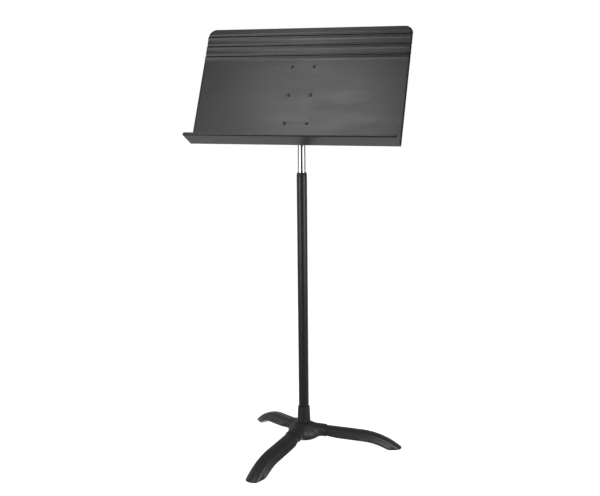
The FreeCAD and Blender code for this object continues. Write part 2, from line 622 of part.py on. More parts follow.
def leg_screw_frame(along):
    """A point on the leg screw's axis, that far along it from the leg's centreline, and the axis."""
    slope = math.radians(LEG_SLOPE)
    up = V(math.sin(slope), 0, math.cos(slope))
    return leg_axis(LEG_SCREW_AT) + up * along, up


def leg(turn):
    shell = leg_sweep(0.0).cut(leg_sweep(LEG_WALL)).common(above(PAD_PROUD))
    at, up = leg_screw_frame(-LEG_THICKNESS)
    shell = shell.cut(rod(LEG_SCREW_RADIUS, LEG_THICKNESS, at, up))
    return on_leg(shell, turn)


def foot_pad(turn):
    """Rubber pad that fills the end of the leg and stands a little proud of it."""
    slab = above(0.0).cut(above(PAD_HEIGHT))
    return on_leg(leg_sweep(LEG_WALL).common(slab), turn)


def socket_arm(width, thickness, radius, start, end):
    """A straight rounded bar along a leg's centreline, between two radii."""
    section = Part.Face(oval_wire(width, thickness, radius, leg_axis(start)))
    return section.extrude(leg_axis(end) - leg_axis(start))


def oval_points(centre, reach, start, end):
    """Points along part of an oval round (radius, height), between two angles in degrees."""
    steps = round((end - start) / HUB_PROFILE_STEP)
    angles = [math.radians(start + (end - start) * i / steps) for i in range(steps + 1)]
    return [(centre[0] + reach[0] * math.cos(a), centre[1] + reach[1] * math.sin(a)) for a in angles]


def hub_core():
    """The casting's middle: rounded below, and domed from the waist up to the column."""
    edge, shoulder = HUB_EDGE_RADIUS, HUB_SHOULDER_RADIUS
    lower = oval_points((HUB_RADIUS - edge, HUB_FOOT + edge), (edge, edge), -90, 0)
    upper = oval_points((HUB_TOP_RADIUS, HUB_TOP - shoulder), (HUB_RADIUS - HUB_TOP_RADIUS, shoulder), 0, 90)
    return turned([(0, HUB_FOOT)] + lower + upper + [(0, HUB_TOP)])


def hub_socket():
    """One leg socket, its mouth's rim rounded, cut off level with the hub's top."""
    width, thickness = LEG_WIDTH + 2 * SOCKET_WALL, LEG_THICKNESS + 2 * SOCKET_WALL
    arm = socket_arm(width, thickness, LEG_CORNER_RADIUS + SOCKET_WALL, COLUMN_RADIUS, SOCKET_MOUTH)
    mouth = max(arm.Faces, key=lambda face: face.CenterOfMass.x)
    arm = arm.makeFillet(SOCKET_RIM_RADIUS, mouth.Edges)
    return arm.common(block(V(0, -HUB_RADIUS, 0), V(2 * SOCKET_MOUTH, HUB_RADIUS, HUB_TOP)))


def hub_pocket():
    """The round recess in the hub's underside for the bolt and its washer."""
    roof, slope = HUB_FOOT + HUB_POCKET_HEIGHT, HUB_POCKET_SLOPE
    return turned([(0, HUB_FOOT - slope), (HUB_POCKET_RADIUS, HUB_FOOT - slope),
                   (HUB_POCKET_RADIUS, roof - slope), (HUB_POCKET_RADIUS - slope, roof), (0, roof)])


def socket_cuts():
    """What is cut for one leg: its own room, the screw's hole, and the spot face under the head."""
    width, thickness = LEG_WIDTH + 2 * SOCKET_GAP, LEG_THICKNESS + 2 * SOCKET_GAP
    room = socket_arm(width, thickness, LEG_CORNER_RADIUS + SOCKET_GAP, LEG_INNER_END, 2 * SOCKET_MOUTH)
    at, up = leg_screw_frame(-LEG_THICKNESS)
    hole = rod(LEG_SCREW_RADIUS + WASHER_HOLE_GAP, LEG_THICKNESS, at, up)
    spot = rod(LEG_SCREW_HEAD_RADIUS + LEG_SCREW_SPOT_GAP, LEG_THICKNESS - screw_seat(), at, up)
    return [room, hole, spot]


def hub():
    """Three-way casting: a domed core, three leg sockets, the column's bore and a pocket below."""
    body = hub_core()
    for turn in LEG_TURNS:
        body = body.fuse(on_leg(hub_socket(), turn))
    for turn in LEG_TURNS:
        for tool in socket_cuts():
            body = body.cut(on_leg(tool, turn))
    body = body.cut(rod(COLUMN_SPIGOT_RADIUS, HUB_TOP, V(0, 0, COLUMN_FOOT)))
    body = body.cut(rod(HUB_BOLT_RADIUS + WASHER_HOLE_GAP, HUB_TOP))
    return body.cut(hub_pocket()).removeSplitter()


def screw_seat():
    """Distance from the leg's centreline down to the spot face under the screw's head."""
    return LEG_THICKNESS / 2 + SOCKET_WALL - LEG_SCREW_SPOT_DEPTH


def leg_screws():
    """One button-head screw up through each socket's floor into a nut inside the leg."""
    at, up = leg_screw_frame(0.0)
    seat = at - up * screw_seat()
    length = screw_seat() - LEG_THICKNESS / 2 + LEG_WALL + LEG_NUT_HEIGHT + LEG_SCREW_PAST_NUT
    shoulder = LEG_SCREW_HEAD_RADIUS - 0.8 * LEG_SCREW_HEAD_HEIGHT
    head = turned([(0, -LEG_SCREW_HEAD_HEIGHT), (shoulder, -LEG_SCREW_HEAD_HEIGHT),
                   (LEG_SCREW_HEAD_RADIUS, -LEG_SCREW_HEAD_HEIGHT / 3), (LEG_SCREW_HEAD_RADIUS, 0),
                   (0, 0)], seat, up)
    key = hexagon(LEG_SCREW_KEY_FLATS, LEG_SCREW_KEY_DEPTH, seat - up * LEG_SCREW_HEAD_HEIGHT, up)
    screw = head.cut(key).fuse(rod(LEG_SCREW_RADIUS, length, seat, up))
    return Part.makeCompound([s for t in LEG_TURNS for s in on_leg(screw, t).Solids])


def leg_nuts():
    at, up = leg_screw_frame(LEG_WALL - LEG_THICKNESS / 2)
    nut = hexagon(LEG_NUT_FLATS, LEG_NUT_HEIGHT, at, up)
    nut = nut.cut(rod(LEG_SCREW_RADIUS, LEG_NUT_HEIGHT, at, up))
    return Part.makeCompound([s for t in LEG_TURNS for s in on_leg(nut, t).Solids])


def hub_bolt():
    """Holds the column down: its head is under the washer and its thread is in the column's plug."""
    seat = HUB_FOOT + HUB_POCKET_HEIGHT - HUB_WASHER_THICKNESS
    head = bolt_hexagon(BOLT_HEAD_HEIGHT, V(0, 0, seat - BOLT_HEAD_HEIGHT), Z_AXIS)
    return head.fuse(rod(HUB_BOLT_RADIUS, HUB_BOLT_LENGTH, V(0, 0, seat))).removeSplitter()


def hub_washer():
    seat = HUB_FOOT + HUB_POCKET_HEIGHT - HUB_WASHER_THICKNESS
    return tube(HUB_WASHER_RADIUS, HUB_BOLT_RADIUS + WASHER_HOLE_GAP, HUB_WASHER_THICKNESS, V(0, 0, seat))


# ---- every sub-part, by the name of its node ----------------------------------------------------
def all_parts():
    parts = {
        "desk_panel": desk_panel(),
        "desk_rivets": desk_rivets(),
        "desk_bracket": desk_bracket(),
        "pivot_bolt": pivot_bolt(),
        "pivot_nut": pivot_nut(),
        "pivot_washers": pivot_washers(),
        "spring_washers": spring_washers(),
        "friction_washers": friction_washers(),
        "tilt_head": tilt_head(),
        "head_pin": head_pin(),
        "inner_tube": inner_tube(),
        "clutch_plug": clutch_plug(),
        "plug_pin": plug_pin(),
        "retaining_ring": retaining_ring(),
        "clutch_sleeve": clutch_sleeve(),
        "clutch_spring": clutch_spring(),
        "outer_tube": outer_tube(),
        "top_bushing": top_bushing(),
        "tube_plug": tube_plug(),
        "column_sleeve": column_sleeve(),
        "hub": hub(),
        "hub_bolt": hub_bolt(),
        "hub_washer": hub_washer(),
        "leg_screws": leg_screws(),
        "leg_nuts": leg_nuts(),
    }
    for name, turn in zip(LEG_NAMES, LEG_TURNS):
        parts["leg_" + name] = leg(turn)
        parts["foot_pad_" + name] = foot_pad(turn)
    return parts


os.makedirs("parts", exist_ok=True)
for node, shape in all_parts().items():
    solids = shape.Solids
    if not solids or not all(s.isValid() and s.Volume > 0 for s in solids):
        raise ValueError(f"{node} is not made of valid solids")
    exported = solids[0] if len(solids) == 1 else Part.makeCompound(solids)
    exported.exportStep(f"parts/{node}.step")
    print(f"{node:18s} {len(solids)} solid(s) {sum(s.Volume for s in solids) / 1000:9.2f} cm3")
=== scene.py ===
import json
import math

import bmesh
import bpy
from mathutils import Matrix, Vector


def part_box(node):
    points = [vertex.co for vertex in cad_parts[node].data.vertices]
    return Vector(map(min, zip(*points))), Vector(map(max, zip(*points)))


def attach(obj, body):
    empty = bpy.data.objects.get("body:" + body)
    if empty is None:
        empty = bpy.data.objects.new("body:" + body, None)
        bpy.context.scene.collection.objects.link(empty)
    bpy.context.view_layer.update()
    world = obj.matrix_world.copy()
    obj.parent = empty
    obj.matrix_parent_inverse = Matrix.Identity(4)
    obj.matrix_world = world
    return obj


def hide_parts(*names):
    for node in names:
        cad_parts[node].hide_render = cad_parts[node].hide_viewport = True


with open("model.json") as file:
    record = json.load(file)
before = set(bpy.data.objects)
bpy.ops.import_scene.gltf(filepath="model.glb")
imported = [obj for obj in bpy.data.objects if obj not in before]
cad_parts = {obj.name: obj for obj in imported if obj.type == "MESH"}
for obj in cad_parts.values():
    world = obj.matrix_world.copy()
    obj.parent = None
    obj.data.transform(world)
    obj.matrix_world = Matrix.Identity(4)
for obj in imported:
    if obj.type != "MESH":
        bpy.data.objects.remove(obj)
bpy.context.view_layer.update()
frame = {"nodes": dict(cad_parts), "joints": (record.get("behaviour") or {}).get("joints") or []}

# ---- Hub ----------------------------------------------------------------------------------------
# The middle of the base is one casting: a domed core with three oval sockets for the legs.
# It is cast in one piece, drilled for the column and the leg screws, and powder coated black.
LEG_WIDTH = 0.0385
LEG_HEIGHT = 0.0266
LEG_SLOPE = math.radians(7.5)
LEG_AXIS_AT = Vector((0.080, 0, 0.0419))
LEG_INNER_END = 0.033
FIRST_LEG_TURN = math.radians(-104.5)
LEG_NAMES = ("front", "right", "rear")
LEG_TURNS = [FIRST_LEG_TURN + math.radians(120.0) * i for i in range(3)]
LEG_TOP_FULLNESS = 2.4          # 2 is an ellipse, and more is squarer
LEG_FOOT_FULLNESS = 4.0
LEG_FOOT_DEPTH = 0.0092         # from the leg's centreline down to its flattened underside
FLANK_DEPTH = 0.008             # how far below the crease a pressed flank is fully out
FLARE_HIGH = 0.005              # above the centreline, where a flare begins
FLARE_LOW = -0.006              # and below it, where the flare is full
FOLD_DEPTH = 0.0008             # the fold along the crease
FOLD_WIDTH = 0.0009
FOLD_FULL_SKIRT = 0.003
FLANK_START = 0.012             # from the leg's middle, where its underside turns into its flank
SOCKET_WALL = 0.0020
SOCKET_FLOOR = 0.0012           # the wall under the leg is thinner
SOCKET_GAP = 0.00015
SOCKET_MOUTH = 0.0555
HUB_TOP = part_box("hub")[1].z
HUB_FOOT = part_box("hub")[0].z
HUB_GRAIN = 0.00105             # size of the remeshed faces
ARM_START = 0.006
ARM_PAST_MOUTH = 0.012
COLUMN_SPIGOT_RADIUS = 0.0122
COLUMN_FOOT = 0.044
POCKET_RADIUS = 0.022
POCKET_ROOF = HUB_FOOT + 0.0045
BOLT_HOLE_RADIUS = 0.0042
SCREW_AT = 0.047                # from the column's axis to the leg screw
SCREW_SEAT = LEG_FOOT_DEPTH + SOCKET_FLOOR - 0.0002
SCREW_SPOT_RADIUS = 0.0056
SCREW_HOLE_RADIUS = 0.0032
SCREW_ROOM_LOW = -0.030         # from the leg's centreline, where the screw's hole starts
SCREW_ROOM_HIGH = -0.010


class Signal:
    """The output of a node. Arithmetic on signals adds the Math nodes that work it out."""

    def __init__(self, graph, socket):
        self.graph = graph
        self.socket = socket

    def other(self, name):
        return Signal(self.graph, self.socket.node.outputs[name])

    def __add__(self, other):
        return self.graph.math("ADD", self, other)

    def __sub__(self, other):
        return self.graph.math("SUBTRACT", self, other)

    def __rsub__(self, other):
        return self.graph.math("SUBTRACT", other, self)

    def __mul__(self, other):
        return self.graph.math("MULTIPLY", self, other)

    def __truediv__(self, other):
        return self.graph.math("DIVIDE", self, other)

    __radd__ = __add__
    __rmul__ = __mul__


class Graph:
    """A node tree, of a material or of a shape, that is written as expressions."""

    def __init__(self, tree):
        self.tree = tree

    def add(self, kind, settings=None, feeds=None, out=0):
        """Adds a node: its settings first, then the values or links of its sockets."""
        node = self.tree.nodes.new(kind)
        for key, value in (settings or {}).items():
            setattr(node, key, value)
        for key, value in (feeds or {}).items():
            self.feed(node, key, value)
        return Signal(self, node.outputs[out]) if node.outputs else node

    def feed(self, node, key, value):
        named = [s for s in node.inputs if s.identifier == key]
        socket = named[0] if named else node.inputs[key]
        if isinstance(value, Signal):
            self.tree.links.new(value.socket, socket)
        else:
            socket.default_value = value

    def math(self, operation, *values):
        return self.add("ShaderNodeMath", {"operation": operation}, dict(enumerate(values)))

    def noise(self, place, scale, detail=2.0, roughness=0.5):
        return self.add("ShaderNodeTexNoise", None,
                        {"Vector": place, "Scale": scale, "Detail": detail, "Roughness": roughness})

    def step(self, value, start, end, low=0.0, high=1.0):
        """A smooth step from low to high as the value goes from start to end."""
        return self.add("ShaderNodeMapRange", {"interpolation_type": "SMOOTHSTEP"},
                        {0: value, 1: start, 2: end, 3: low, 4: high})

    def blend(self, factor, first, second):
        """A colour between two, each a colour or a signal."""
        colours = {"A_Color": first, "B_Color": second}
        return self.add("ShaderNodeMix", {"data_type": "RGBA"}, {"Factor_Float": factor, **colours},
                        out=2)

    def stretched(self, place, x, y, z):
        return self.add("ShaderNodeMapping", None, {"Vector": place, "Scale": (x, y, z)})


def grey(level, blue=0.0):
    return (level, level, level * (1.0 + blue), 1.0)


def finish_material(name, colour, roughness, bump, strength, depth, **constants):
    """A Principled material. The first three are made by functions of the graph and the place."""
    material = bpy.data.materials.new(name)
    material.use_nodes = True
    graph = Graph(material.node_tree)
    shader = material.node_tree.nodes["Principled BSDF"]
    place = graph.add("ShaderNodeTexCoord", out="Object")
    graph.feed(shader, "Base Color", colour(graph, place))
    graph.feed(shader, "Roughness", roughness(graph, place))
    height = bump(graph, place)
    graph.feed(shader, "Normal", graph.add("ShaderNodeBump", None,
                                           {"Height": height, "Strength": strength, "Distance": depth}))
    for key, value in constants.items():
        graph.feed(shader, key.replace("_", " "), value)
    return material


def powder_coat(name, tone, roughness, peel, depth):
    """Baked black powder: an orange-peel skin, a faintly cloudy tone, and a few dull rubbed spots."""
    def colour(graph, place):
        cloud = graph.noise(place, 11.0, 3.0)
        fleck = graph.noise(place, 2400.0, 1.0)
        base = graph.blend(cloud * 0.6 + fleck * 0.4, grey(tone * 0.80, 0.02), grey(tone * 1.20, 0.03))
        rubbed = graph.step(graph.noise(place, 46.0, 4.0, 0.62), 0.66, 0.80)
        return graph.blend(rubbed * 0.35, base, grey(tone * 1.7, 0.02))

    def spread(graph, place):
        grain = graph.noise(place, 500.0, 2.0)
        cloud = graph.noise(place, 17.0, 3.0)
        return roughness + (grain - 0.5) * 0.16 + (cloud - 0.5) * 0.12

    def skin(graph, place):
        return graph.noise(place, peel, 2.0) * 0.7 + graph.noise(place, peel * 2.7, 1.0) * 0.3

    return finish_material(name, colour, spread, skin, 0.55, depth)


def new_piece(name, mesh, material=None):
    """An object at the origin, its place in its mesh, smooth except at its sharp edges."""
    piece = bpy.data.objects.new(name, mesh)
    bpy.context.scene.collection.objects.link(piece)
    if material is not None:
        mesh.materials.clear()
        mesh.materials.append(material)
    mesh.polygons.foreach_set("use_smooth", [True] * len(mesh.polygons))
    mesh.set_sharp_from_angle(angle=math.radians(38.0))
    return piece


def loft(rings, looped=False):
    """A closed skin through rings of points. Its two ends are filled, or joined if it is looped."""
    form = bmesh.new()
    rows = [[form.verts.new(p) for p in ring] for ring in rings]
    pairs = list(zip(rows, rows[1:]))
    if looped:
        pairs.append((rows[-1], rows[0]))
    for low, high in pairs:
        for i in range(len(low)):
            j = (i + 1) % len(low)
            form.faces.new((low[i], low[j], high[j], high[i]))
    if not looped:
        form.faces.new(reversed(rows[0]))
        form.faces.new(rows[-1])
    bmesh.ops.remove_doubles(form, verts=form.verts, dist=1e-7)
    bmesh.ops.recalc_face_normals(form, faces=form.faces)
    mesh = bpy.data.meshes.new("skin")
    form.to_mesh(mesh)
    form.free()
    return mesh


def turned(outline, steps=96, looped=True):
    """A piece turned about Z from (radius, height) points. A looped outline closes on itself."""
    rings = []
    for radius, height in outline:
        turns = [2 * math.pi * i / steps for i in range(steps)]
        rings.append([Vector((radius * math.cos(t), radius * math.sin(t), height)) for t in turns])
    return loft(rings, looped)


def smooth(value, start, end):
    """A smooth step from 0 to 1 as the value goes from start to end."""
    share = min(max((value - start) / (end - start), 0.0), 1.0)
    return share * share * (3 - 2 * share)


def leg_section(grow=0.0, below=None, skirt=0.0, crease=0.0, flare=0.0, upper=48, lower=36):
    """Points (across, up) round a leg: domed above, flat with tight corners below. A skirt is how far
    its flanks are pressed out below a crease at that height, and a flare spreads them gently. The
    section can be grown all round, or by another amount below."""
    half, top = LEG_WIDTH / 2 + grow, LEG_HEIGHT / 2 + grow
    foot = LEG_FOOT_DEPTH + (grow if below is None else below)
    side = []
    for i in range(upper + lower + 1):
        turn = math.pi / 2 * (1 - i / upper) if i <= upper else -math.pi / 2 * (i - upper) / lower
        fullness, reach = (LEG_TOP_FULLNESS, top) if i <= upper else (LEG_FOOT_FULLNESS, foot)
        across = half * max(math.cos(turn), 0.0) ** (2 / fullness)
        rise = math.copysign(reach * abs(math.sin(turn)) ** (2 / fullness), turn)
        pressed = skirt * min(max((crease - rise) / FLANK_DEPTH, 0.0), 1.0)
        spread = pressed + flare * smooth(rise, FLARE_HIGH, FLARE_LOW)
        fold = FOLD_DEPTH * min(skirt / FOLD_FULL_SKIRT, 1.0)
        fold = fold * math.exp(-((rise - crease) / FOLD_WIDTH) ** 2)
        side.append((across + min(across / FLANK_START, 1.0) * (spread - fold), rise))
    return side + [(-across, rise) for across, rise in side[-2:0:-1]]


def leg_axis(radius):
    """A point of a leg's straight centreline, for a leg that runs out along +X."""
    fall = (LEG_AXIS_AT.x - radius) * math.tan(LEG_SLOPE)
    return LEG_AXIS_AT + Vector((radius - LEG_AXIS_AT.x, 0, fall))


LEG_UP = Vector((math.sin(LEG_SLOPE), 0, math.cos(LEG_SLOPE)))


def straight_bar(section, start, end, rings=2):
    """A bar of a leg's section along its centreline, between two radii."""
    bar = []
    for i in range(rings):
        centre = leg_axis(start + (end - start) * i / (rings - 1))
        bar.append([centre + Vector((0, y, 0)) + LEG_UP * z for y, z in section])
    return loft(bar)


def moved(mesh, matrix):
    copy = mesh.copy()
    copy.transform(matrix)
    return copy


def joined(meshes):
    """One mesh out of several."""
    form = bmesh.new()
    for mesh in meshes:
        form.from_mesh(mesh)
    mesh = bpy.data.meshes.new("joined")
    form.to_mesh(mesh)
    form.free()
    return mesh


def round_the_hub(mesh):
    """Three copies of a mesh, one at each leg."""
    return joined([moved(mesh, Matrix.Rotation(turn, 4, "Z")) for turn in LEG_TURNS])


def settle(piece):
    """Makes what a piece's modifiers show its plain mesh."""
    evaluated = piece.evaluated_get(bpy.context.evaluated_depsgraph_get())
    mesh = bpy.data.meshes.new_from_object(evaluated)
    piece.modifiers.clear()
    piece.data = mesh
    return piece


def carve(piece, tool_mesh, operation="DIFFERENCE"):
    """Cuts a piece with a closed mesh, or keeps what the two share."""
    tool = new_piece("tool", tool_mesh)
    cut = piece.modifiers.new("cut", "BOOLEAN")
    cut.operation = operation
    cut.solver = "EXACT"
    cut.object = tool
    settle(piece)
    bpy.data.objects.remove(tool)
    return piece


def settled_piece(piece, name, material):
    """The finished form of a worked piece, under its own name."""
    mesh = piece.data
    bpy.data.objects.remove(piece)
    return new_piece(name, mesh, material)


cast_black = powder_coat("cast_black", 0.029, 0.46, 620.0, 0.00012)

core_outline = [(0, HUB_FOOT), (0.0265, HUB_FOOT), (0.0325, HUB_FOOT + 0.0009),
                (0.0372, HUB_FOOT + 0.0034), (0.0405, HUB_FOOT + 0.0068), (0.0419, HUB_FOOT + 0.0105),
                (0.0414, HUB_FOOT + 0.0145), (0.0395, HUB_FOOT + 0.0193), (0.0360, HUB_FOOT + 0.0241),
                (0.0315, HUB_FOOT + 0.0282),
                (0.0270, HUB_TOP - 0.0049), (0.0238, HUB_TOP - 0.0018), (0.0212, HUB_TOP - 0.0003),
                (0.0186, HUB_TOP), (0, HUB_TOP)]
cast_loss = 0.0006              # what smoothing the fillets takes off the arms
arm_section = leg_section(SOCKET_WALL + cast_loss, SOCKET_FLOOR + cast_loss)
arm = straight_bar(arm_section, ARM_START, SOCKET_MOUTH + ARM_PAST_MOUTH, rings=12)
hub_form = new_piece("hub_form", joined([turned(core_outline, looped=False), round_the_hub(arm)]))
remesh = hub_form.modifiers.new("one skin", "REMESH")
remesh.mode = "VOXEL"
remesh.voxel_size = HUB_GRAIN
fillets = hub_form.modifiers.new("cast fillets", "SMOOTH")
fillets.factor = 0.5
fillets.iterations = 230
settle(hub_form)

past_mouth = straight_bar(leg_section(0.02), SOCKET_MOUTH, SOCKET_MOUTH + 0.03)
carve(hub_form, round_the_hub(past_mouth))
leg_room = straight_bar(leg_section(SOCKET_GAP), LEG_INNER_END, 0.080)
carve(hub_form, round_the_hub(leg_room))
column_room = [(0, HUB_FOOT - 0.004), (POCKET_RADIUS, HUB_FOOT - 0.004),
               (POCKET_RADIUS, POCKET_ROOF - 0.002), (POCKET_RADIUS - 0.002, POCKET_ROOF),
               (BOLT_HOLE_RADIUS, POCKET_ROOF),
               (BOLT_HOLE_RADIUS, COLUMN_FOOT), (COLUMN_SPIGOT_RADIUS, COLUMN_FOOT),
               (COLUMN_SPIGOT_RADIUS, HUB_TOP + 0.01), (0, HUB_TOP + 0.01)]
carve(hub_form, turned(column_room, looped=False))
screw_frame = Matrix.Translation(leg_axis(SCREW_AT)) @ Matrix.Rotation(LEG_SLOPE, 4, "Y")
screw_room = [(0, SCREW_ROOM_LOW), (SCREW_SPOT_RADIUS, SCREW_ROOM_LOW), (SCREW_SPOT_RADIUS, -SCREW_SEAT),
              (SCREW_HOLE_RADIUS, -SCREW_SEAT), (SCREW_HOLE_RADIUS, SCREW_ROOM_HIGH), (0, SCREW_ROOM_HIGH)]
carve(hub_form, round_the_hub(moved(turned(screw_room, 48, looped=False), screw_frame)))
hub = settled_piece(hub_form, "hub_casting", cast_black)
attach(hub, "base")
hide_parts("hub")

# ---- Legs ---------------------------------------------------------------------------------------
# Each leg is a steel tube, domed above and flat below, bent down to the floor and cut off flat
# there. The press that bends it spreads its lower flanks. It is powder coated black.
LEG_WALL = 0.002
LEG_BEND_START = 0.142
LEG_BEND_RADIUS = 0.180
LEG_BEND_SWEEP = math.radians(50.0)
PAD_PROUD = 0.0016
SKIRT_START = 0.056             # these places are distances from the column's axis
SKIRT_FULL = 0.120
SKIRT_FADE = 0.150
SKIRT_END = 0.180
SKIRT_WIDEST = 0.0016
FLARE_FULL = 0.084
FLARE_FADE = 0.205
FLARE_END = 0.228
FLARE_WIDEST = 0.0052
CREASE_START = 0.086
CREASE_LOW = 0.0013             # below the centreline, where the crease starts
CREASE_RISE = 0.0078
CREASE_FALL = 0.0066
leg_steel = powder_coat("leg_black_coat", 0.033, 0.35, 760.0, 0.00009)


def leg_frame(share):
    """Centre, direction up, and radius of a leg at a share of its length."""
    straight = (LEG_BEND_START - LEG_INNER_END) / math.cos(LEG_SLOPE)
    length = straight + LEG_BEND_RADIUS * LEG_BEND_SWEEP
    run = share * length
    if run <= straight:
        return leg_axis(LEG_INNER_END + run * math.cos(LEG_SLOPE)), LEG_UP
    turn = LEG_SLOPE + (run - straight) / LEG_BEND_RADIUS
    centre = leg_axis(LEG_BEND_START) - LEG_UP * LEG_BEND_RADIUS
    up = Vector((math.sin(turn), 0, math.cos(turn)))
    return centre + up * LEG_BEND_RADIUS, up


def leg_ring(share, inset):
    """One section of a leg, its lower flanks spread between the socket and the toe."""
    centre, up = leg_frame(share)
    out = centre.x
    along = min(max((out - CREASE_START) / (SKIRT_END - CREASE_START), 0.0), 1.0)
    crease = CREASE_RISE * math.sin(math.pi * along) - CREASE_LOW - CREASE_FALL * smooth(along, 0.5, 0.8)
    skirt = SKIRT_WIDEST * smooth(out, SKIRT_START, SKIRT_FULL) * (1 - smooth(out, SKIRT_FADE, SKIRT_END))
    flare = FLARE_WIDEST * smooth(out, SKIRT_START, FLARE_FULL) * (1 - smooth(out, FLARE_FADE, FLARE_END))
    section = leg_section(-inset, None, skirt, crease, flare)
    return [centre + Vector((0, across, 0)) + up * rise for across, rise in section]


def leg_rings(inset, count=140):
    return [leg_ring(i / (count - 1), inset) for i in range(count)]


def slab(low, high):
    """A flat block round the column's axis, between two heights."""
    reach = 0.4
    corners = [(-reach, -reach), (reach, -reach), (reach, reach), (-reach, reach)]
    return loft([[Vector((x, y, z)) for x, y in corners] for z in (low, high)])


leg_form = new_piece("leg_form", loft(leg_rings(0.0) + leg_rings(LEG_WALL)[::-1], looped=True))
carve(leg_form, slab(PAD_PROUD, 0.2), "INTERSECT")
for name, turn in zip(LEG_NAMES, LEG_TURNS):
    leg_mesh = moved(leg_form.data, Matrix.Rotation(turn, 4, "Z"))
    leg = new_piece("leg_" + name + "_tube", leg_mesh, leg_steel)
    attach(leg, "base")
    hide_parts("leg_" + name)
bpy.data.objects.remove(leg_form)

# ---- Foot pads ----------------------------------------------------------------------------------
# A moulded rubber plug fills the cut end of each leg and stands a little proud of it.
# Its sole has cross grooves, so that the stand doesn't slide.
PAD_HEIGHT = 0.009
GROOVE_DEPTH = 0.0009
GROOVE_WIDTH = 0.0014
GROOVE_PITCH = 0.0052
GROOVE_COUNT = 7
PAD_MIDDLE = 0.2245


def rubber(name):
    """Matt black rubber with a grey bloom and a fine moulded grain."""
    def colour(graph, place):
        bloom = graph.noise(place, 60.0, 4.0, 0.6)
        return graph.blend(graph.step(bloom, 0.35, 0.75), grey(0.014), grey(0.030, 0.02))

    def spread(graph, place):
        return 0.74 + graph.noise(place, 300.0, 3.0) * 0.2

    def grain(graph, place):
        return graph.noise(place, 1500.0, 3.0)

    return finish_material(name, colour, spread, grain, 0.5, 0.00012)


foot_rubber = rubber("foot_rubber")
pad_form = new_piece("pad_form", loft(leg_rings(LEG_WALL)))
carve(pad_form, slab(0.0, PAD_HEIGHT), "INTERSECT")
grooves = []
for i in range(GROOVE_COUNT):
    middle = PAD_MIDDLE + (i - (GROOVE_COUNT - 1) / 2) * GROOVE_PITCH
    ends = [(middle - GROOVE_WIDTH / 2, -0.001), (middle + GROOVE_WIDTH / 2, -0.001),
            (middle + GROOVE_WIDTH / 2, GROOVE_DEPTH), (middle - GROOVE_WIDTH / 2, GROOVE_DEPTH)]
    grooves.append(loft([[Vector((x, y, z)) for x, z in ends] for y in (-0.03, 0.03)]))
carve(pad_form, joined(grooves))
for name, turn in zip(LEG_NAMES, LEG_TURNS):
    pad_mesh = moved(pad_form.data, Matrix.Rotation(turn, 4, "Z"))
    pad = new_piece("foot_pad_" + name + "_rubber", pad_mesh, foot_rubber)
    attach(pad, "base")
    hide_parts("foot_pad_" + name)
bpy.data.objects.remove(pad_form)

# ---- Screws, nuts and bolts ---------------------------------------------------------------------
# Zinc-plated steel. A button-head screw goes up through each socket's floor into a nut in the leg,
# and one bolt with a wide washer holds the column down in the hub.
SCREW_HEAD_RADIUS = 0.0052
SCREW_HEAD_HEIGHT = 0.0030
SCREW_RADIUS = 0.0030
SCREW_LENGTH = 0.0112
NUT_RADIUS = 0.0058
NUT_HEIGHT = 0.0050
KEY_RADIUS = 0.0023
KEY_DEPTH = 0.0016


def plated(name, tone, roughness, brush):
    """Plated steel: bright metal with a clouded, lightly brushed skin and a trace of yellow."""
    def colour(graph, place):
        cloud = graph.noise(place, 90.0, 4.0, 0.6)
        warm = (tone * 0.98, tone * 0.93, tone * 0.80, 1.0)
        return graph.blend(graph.step(cloud, 0.3, 0.7), warm, grey(tone))

    def spread(graph, place):
        lines = graph.noise(graph.stretched(place, *brush), 60.0, 3.0)
        return roughness + (lines - 0.5) * 0.25

    def skin(graph, place):
        return graph.noise(graph.stretched(place, *brush), 90.0, 2.0)

    return finish_material(name, colour, spread, skin, 0.3, 0.00003, Metallic=1.0)


def shape_tree(name, inputs):
    """A geometry tree with named inputs. Returns the tree, its graph, and its inputs as signals."""
    tree = bpy.data.node_groups.new(name, "GeometryNodeTree")
    tree.interface.new_socket("Shape", in_out="OUTPUT", socket_type="NodeSocketGeometry")
    for key, kind in inputs.items():
        tree.interface.new_socket(key, in_out="INPUT", socket_type="NodeSocket" + kind)
    graph = Graph(tree)
    entry = graph.add("NodeGroupInput")
    return tree, graph, {key: entry.other(key) for key in inputs}


def end_tree(graph, shape, material):
    """Ends a geometry tree: real geometry, in its material."""
    real = graph.add("GeometryNodeRealizeInstances", None, {"Geometry": shape})
    painted = graph.add("GeometryNodeSetMaterial", None, {"Geometry": real, "Material": material})
    graph.add("NodeGroupOutput", None, {"Shape": painted})


def grown(name, tree, values, mesh=None):
    """The plain mesh that a geometry tree makes with these values."""
    seed = new_piece(name, mesh or bpy.data.meshes.new(name))
    modifier = seed.modifiers.new("grown", "NODES")
    modifier.node_group = tree
    for item in tree.interface.items_tree:
        if item.in_out == "INPUT" and item.name in values:
            modifier[item.identifier] = values[item.name]
    return settle(seed)


